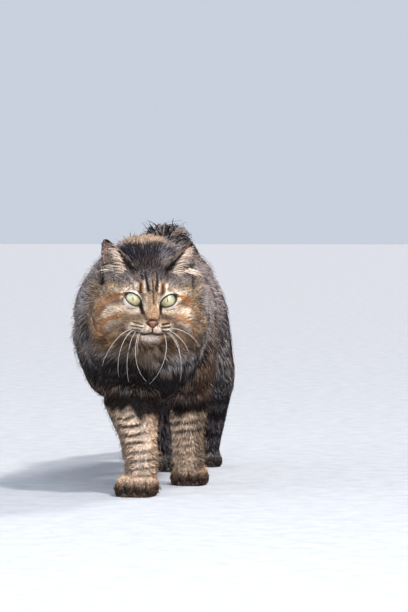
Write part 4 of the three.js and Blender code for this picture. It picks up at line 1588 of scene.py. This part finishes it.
# %% [markdown]
# Each eyeball is turned to look at the camera. Blender's own sphere could be used, but its points
# would have to be moved for the cornea and measured again for the iris. Here both are worked out
# as the ball is made.


# %% Eyeballs
CORNEA_BULGE = 0.045
EYE_RINGS = (40, 64)


def eyeball(side):
    """A ball that looks at the camera. across and up, in mm, place the iris on it."""
    middle = eye_middle[side]
    gaze = unit(camera_at - middle)
    right = unit(np.cross([0, 0, 1.0], gaze))
    above = np.cross(gaze, right)
    low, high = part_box("eye_" + side)
    radius = float(max(high - low)) / 2
    points, flat = [], []
    for polar, turn in ball_turns(*EYE_RINGS):
        a, b = math.sin(polar) * math.cos(turn), math.sin(polar) * math.sin(turn)
        bulge = 1 + CORNEA_BULGE * ramp(math.degrees(polar), 44, 8)
        points.append(middle + (right * a + above * b + gaze * math.cos(polar)) * radius * bulge)
        flat.append((a * radius / MM, b * radius / MM))
    points += [middle + gaze * radius * (1 + CORNEA_BULGE), middle - gaze * radius]
    flat += [(0, 0), (0, 0)]
    ball = mesh_from("eyeball_" + side, np.array(points), ball_faces(*EYE_RINGS))
    flat = np.array(flat)
    behind = (np.array(points) - middle) @ gaze < 0
    flat[behind] = [radius / MM, 0]
    add_value(ball, "across", flat[:, 0])
    add_value(ball, "up", flat[:, 1])
    ball.data.materials.append(eye_paint)
    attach(ball, "root")
    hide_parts("eye_" + side)
    print(ball.name, "radius", round(radius / MM, 1), "mm")


eyeball("left")
eyeball("right")

# %% [markdown]
# A dark bare rim runs round each opening, where the lid meets the eye. It is a thin closed tube.


# %% Tubes
def tube(name, paths, radii, material, sides=6, closed=False):
    """Round tubes along lists of points in metres, with a radius in mm at each point."""
    points, faces = [], []
    for path, radius in zip(paths, radii):
        path = np.asarray(path)
        many = len(path)
        if closed:
            ahead = unit(np.roll(path, -1, axis=0) - np.roll(path, 1, axis=0))
        else:
            ahead = unit(np.gradient(path, axis=0))
        helper = np.array([0.13, 0.2, 1.0]) if abs(ahead[0][2]) < 0.8 else np.array([1.0, 0.1, 0])
        side = unit(np.cross(ahead, helper))
        top = np.cross(side, ahead)
        first = len(points)
        for i in range(many):
            for k in range(sides):
                turn = 2 * math.pi * k / sides
                way = side[i] * math.cos(turn) + top[i] * math.sin(turn)
                points.append(path[i] + way * radius[i] * MM)
        for i in range(many if closed else many - 1):
            n = (i + 1) % many
            for k in range(sides):
                j = (k + 1) % sides
                a, b = first + i * sides, first + n * sides
                faces += [(a + k, a + j, b + j), (a + k, b + j, b + k)]
        if not closed:
            for i, turn in ((0, 1), (many - 1, -1)):
                base = first + i * sides
                ring = [base + k for k in range(sides)][::turn]
                faces += [(ring[0], ring[k + 1], ring[k]) for k in range(1, sides - 1)]
    piece = mesh_from(name, np.array(points), faces)
    piece.data.materials.append(material)
    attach(piece, "root")
    print(f"{name}: {len(paths)} tubes, {len(faces)} triangles")
    return piece

# %% [markdown]
# Each point of the rim is found by stretching a circle until it meets the almond of the opening.
# The rim could be painted on the skin, but the skin's points are too far apart there for a thin,
# even line, so it is a tube.


# %% Lid rims
rim_paint, sheet, surface = new_material("lid rim")
tone = sheet.ramp(sheet.noise(300.0), [(0.3, colour("120f0e")), (0.7, colour("241d1a"))])
sheet.put(tone, surface.inputs["Base Color"])
surface.inputs["Roughness"].default_value = 0.38

RIM_OVER_BALL = 0.25
turns = np.linspace(0, 2 * math.pi, 72, endpoint=False)
thick = [0.55 + 0.2 * max(math.sin(turn), 0) for turn in turns]
for side in ("left", "right"):
    axes = eye_axes(side)
    ring = []
    for turn in turns:
        a = math.cos(turn)
        b = math.sin(turn)
        reach = 1.0
        for _ in range(12):
            reach /= float(opening_share(np.array([a * reach]), np.array([b * reach]))[0])
        a, b = a * reach, b * reach
        c = math.sqrt(max((EYE_RADIUS + RIM_OVER_BALL) ** 2 - a * a - b * b, 4))
        ring.append(from_head(eye_at[side] + np.array([a, b, c]) @ axes))
    rim_piece = tube("lid_rim_" + side, [ring], [thick], rim_paint, 8, closed=True)

# %% [markdown]
# ## The nose
# The nose leather is a small rounded wedge, wide above and narrow below, with a nostril on each
# side that curls outward and a groove down its middle. It could be a part of the skin, but it is
# damp, smooth and hairless, so it is a piece of its own with its own material.

# %% Nose leather
nose_paint, sheet, surface = new_material("nose leather")
fleshy = sheet.ramp(sheet.noise(500.0, 4.0), [(0.3, colour("74401f")), (0.7, colour("9a5c38"))])
edged = sheet.mix(sheet.attribute("edge"), fleshy, colour("1f1512"))
# Painted shade: the nostrils' dents are darkened to stand for the shadow inside them.
shaded_nostrils = sheet.mix(sheet.attribute("nostril_shade"), edged, colour("140c0b"))
sheet.put(shaded_nostrils, surface.inputs["Base Color"])
surface.inputs["Roughness"].default_value = 0.42
sheet.bump(surface, sheet.noise(1500.0, 2.0), 0.4, 0.0003)

# %% [markdown]
# The leather is a ball of rings that is narrowed downwards. Two comma-shaped dents make the nostrils, a
# small ridge runs round the outside of each, and a thin line parts the lower half. The dents are
# painted near black, as painted shade inside the nostrils.

# %% The leather itself
NOSE_RINGS = (36, 56)
NOSE_HALF_WIDTH = 8.0
NOSE_HALF_HEIGHT = 4.8
nose_middle = to_head([middle_of("nose")])[0]
points, edge, nostril_shade = [], [], []
for polar, turn in ball_turns(*NOSE_RINGS):
    a, b = math.sin(polar) * math.cos(turn), math.sin(polar) * math.sin(turn)
    width = NOSE_HALF_WIDTH - 4.4 * ramp(b, 0.3, -1.0) - 0.4 * ramp(b, 0.6, 1.0)
    out_x, up_z = a * width, b * NOSE_HALF_HEIGHT - 0.4
    ahead = math.cos(polar) * 4.2 - 0.9 * (1 - b) * 0.5
    drop = up_z + 0.9 - 0.3 * (abs(out_x) - 4)
    comma = math.exp(-(((abs(out_x) - 4.3) / 1.5) ** 2) - (drop / 1.15) ** 2)
    wing = math.exp(-(((abs(out_x) - 5.2) / 1.1) ** 2) - ((up_z - 0.3) / 1.6) ** 2)
    line = math.exp(-((out_x / 0.5) ** 2)) * float(ramp(up_z, -0.5, -2.5))
    in_front = math.cos(polar) > 0
    if in_front:
        ahead += -2.6 * comma + 0.35 * wing - 0.9 * line
    points.append(nose_middle + [out_x, -ahead, up_z])
    edge.append(float(ramp(math.hypot(a, b), 0.58, 0.88)) if in_front else 1.0)
    nostril_shade.append(comma if in_front else 0.0)
points += [nose_middle + [0, -3.8, -0.3], nose_middle + [0, 4.2, -0.3]]
edge += [0.0, 1.0]
nostril_shade += [0.0, 0.0]
leather = mesh_from("nose_leather", from_head(np.array(points)), ball_faces(*NOSE_RINGS)[:, ::-1])
add_value(leather, "edge", edge)
add_value(leather, "nostril_shade", np.clip(np.array(nostril_shade) * 1.3, 0, 1))
leather.data.materials.append(nose_paint)
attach(leather, "root")
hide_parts("nose")
print("nose leather:", len(leather.data.polygons), "triangles")

# %% [markdown]
# ## Whiskers
# The whiskers are stiff white hairs as thick as a thread. The long ones grow from the rows of the
# whisker pads, sweep out and forward, and hang down under their own weight. They could be Blender
# curves with a round profile. A tube mesh gives the same shape, thins out towards the tip, and
# needs no conversion.

# %% Material and curve of a whisker
whisker_paint, sheet, surface = new_material("whisker")
pale = sheet.ramp(sheet.noise(60.0), [(0.2, colour("e9e4dc")), (0.8, colour("faf8f4"))])
sheet.put(pale, surface.inputs["Base Color"])
surface.inputs["Roughness"].default_value = 0.35


def bend_through(controls, steps=14):
    """A smooth curve through four control places, in metres, from places in the head's frame."""
    p0, p1, p2, p3 = (np.array(c, float) for c in controls)
    t = np.linspace(0, 1, steps)[:, None]
    curve = p0 * (1 - t) ** 3 + 3 * p1 * t * (1 - t) ** 2 + 3 * p2 * t * t * (1 - t) + p3 * t**3
    return from_head(curve)

# %% [markdown]
# A whisker is given by four places: its root, two that pull it aside, and its tip. The whiskers
# are placed one by one, because there are few of them and each one shows. The ones over the eyes
# are shorter and finer.


# %% Whiskers and brow whiskers
# root, two pulls and tip, as (x, y, z) in the head's frame
LONG_WHISKERS = [
    [(-23, -9, -35), (-40, -24, -38), (-54, -26, -60), (-58, -20, -80)],
    [(-21, -11, -36), (-34, -28, -40), (-44, -32, -66), (-38, -24, -91)],
    [(-18, -12, -37), (-27, -30, -44), (-34, -34, -72), (-26, -26, -97)],
    [(-15, -13, -38), (-20, -28, -48), (-26, -32, -76), (-5, -28, -96)],
    [(-13, -13, -38), (-17, -24, -44), (-18, -26, -52), (-17, -24, -60)],
    [(15, -13, -38), (20, -28, -50), (18, -32, -78), (-2, -28, -99)],
    [(18, -12, -37), (28, -28, -42), (38, -34, -64), (35, -26, -95)],
    [(20, -11, -36), (28, -26, -42), (34, -30, -54), (33, -26, -64)],
    [(22, -9, -35), (34, -22, -40), (42, -24, -52), (46, -18, -62)],
    [(22, -8, -32), (40, -18, -32), (54, -18, -42), (60, -10, -56)],
]
BROW_WHISKERS = [
    [(-19, 1, 15), (-24, -9, 22), (-31, -12, 30), (-38, -8, 36)],
    [(-22, 2, 14), (-30, -8, 20), (-38, -10, 25), (-46, -4, 28)],
    [(19, 1, 15), (24, -9, 22), (31, -12, 30), (38, -8, 37)],
    [(22, 2, 14), (30, -8, 20), (38, -10, 25), (46, -4, 29)],
]
paths, radii = [], []
for hairs, steps, thick, thin in ((LONG_WHISKERS, 14, 0.21, 0.07), (BROW_WHISKERS, 9, 0.09, 0.04)):
    for controls in hairs:
        paths.append(bend_through(controls, steps))
        radii.append(np.linspace(thick, thin, steps))
whiskers = tube("whiskers", paths, radii, whisker_paint, 5)

# %% [markdown]
# Long pale hairs cross the cup of each ear from its inner edge and spill over the outer edge. The
# cat's left ear shows more of them. They are tubes like the whiskers, but they are placed at
# random and in large numbers, since no single one of them matters.

# %% Ear hair
HAIR_STEPS = 6
HAIR_SIDES = 4
INNER_HAIRS = 80
SPILLING_HAIRS = {"left": 26, "right": 9}
rng = np.random.default_rng(41)
paths, radii = [], []
for side, sign in (("left", 1), ("right", -1)):
    for _ in range(INNER_HAIRS):
        up_ear = rng.uniform(0, 1) ** 1.3
        root_x = sign * (22 + 21 * up_ear + rng.normal(0, 1.0))
        root = np.array([root_x, 27 - 2 * up_ear, 24 + 38 * up_ear])
        reach = rng.uniform(14, 24) * (1 - 0.45 * up_ear)
        away_x = sign * rng.uniform(0.8, 1.1)
        away = unit(np.array([away_x, rng.uniform(-0.32, -0.1), rng.uniform(0.05, 0.5)]))
        first = root + away * reach * 0.3 + [0, -2, 1]
        second = root + away * reach * 0.7 + [0, -2.5, 1]
        end = root + away * reach + [0, 0, -0.12 * reach]
        paths.append(bend_through([root, first, second, end], HAIR_STEPS))
        radii.append(np.linspace(0.2, 0.05, HAIR_STEPS))
    for _ in range(SPILLING_HAIRS[side]):
        root = np.array([sign * rng.uniform(42, 50), 20 + rng.uniform(-2, 6), rng.uniform(33, 40)])
        away = unit(np.array([sign * 1.0, rng.uniform(-0.2, 0.2), rng.uniform(-0.3, 0.05)]))
        reach = rng.uniform(9, 17)
        first, second = root + away * reach * 0.4, root + away * reach * 0.7
        end = root + away * reach - [0, 0, 1.5]
        paths.append(bend_through([root, first, second, end], HAIR_STEPS))
        radii.append(np.linspace(0.26, 0.06, HAIR_STEPS))
ear_hair = tube("ear_hair", paths, radii, ear_coat, HAIR_SIDES)
paleness = np.repeat([rng.uniform(0.7, 1.0) for _ in paths], HAIR_STEPS * HAIR_SIDES)
add_value(ear_hair, "pale", paleness)
add_value(ear_hair, "along", np.full(len(paleness), 0.75))
add_value(ear_hair, "shade", np.repeat(rng.random(len(paths)), HAIR_STEPS * HAIR_SIDES))

# %% [markdown]

# %% [markdown]
# ## Floor and light
# The cat walks on pale, plain ground. The sun stands high on the viewer's right, a little behind
# the cat, and edges the coat with light. A wide soft light from the front fills the face.

# %% Floor
floor_paint, sheet, surface = new_material("floor")
grit = sheet.ramp(sheet.noise(35.0, 8.0, 0.7), [(0.3, colour("9fa1a8")), (0.7, colour("b2b4ba"))])
sheet.put(grit, surface.inputs["Base Color"])
surface.inputs["Roughness"].default_value = 0.9
bpy.ops.mesh.primitive_plane_add(size=60, location=(0, 0, 0))
floor = bpy.context.object
floor.name = "floor"
floor.data.materials.append(floor_paint)

# %% [markdown]
# One sun could light the cat alone, but the shaded side of a dark coat would then go black. Soft
# lamps in front and on the left stand for the open sky, and a small one puts a glint in the eyes.


# %% Lights and sky
def lamp(name, kind, strength, shade, place, aim, size):
    """A sun, whose size is an angle, or a square lamp, whose size is its side in metres."""
    data = bpy.data.lights.new(name, kind)
    data.energy = strength
    data.color = shade
    if kind == "AREA":
        data.size = size
    else:
        data.angle = size
    made = bpy.data.objects.new(name, data)
    bpy.context.scene.collection.objects.link(made)
    made.location = place
    made.rotation_mode = "QUATERNION"
    made.rotation_quaternion = (Vector(aim) - Vector(place)).to_track_quat("-Z", "Y")


face_place = tuple(between_eyes)
lamp("sun", "SUN", 2.7, (1.0, 0.95, 0.88), (1.5, -1.1, 3.0), (0, -0.1, 0.15), 0.10)
lamp("back_sun", "SUN", 2.0, (1.0, 0.96, 0.9), (1.4, 2.2, 2.4), (0, -0.1, 0.15), 0.2)
lamp("front_fill", "AREA", 38, (0.98, 0.98, 1.0), (1.1, -2.5, 1.2), face_place, 2.0)
lamp("left_fill", "AREA", 19, (0.93, 0.96, 1.0), (-1.9, -1.3, 1.3), face_place, 1.6)
lamp("sky_glow", "AREA", 9, (0.75, 0.9, 1.0), (0.25, -1.7, 1.75), face_place, 0.8)
lamp("glint", "AREA", 1.6, (0.85, 0.93, 1.0), (0.32, -1.6, 1.35), face_place, 0.16)
bpy.context.scene.view_settings.view_transform = "Standard"
world = bpy.data.worlds.new("sky")
bpy.context.scene.world = world
world.use_nodes = True
sky = world.node_tree.nodes["Background"]
sky.inputs["Color"].default_value = (0.80, 0.88, 1.0, 1)
sky.inputs["Strength"].default_value = 0.72
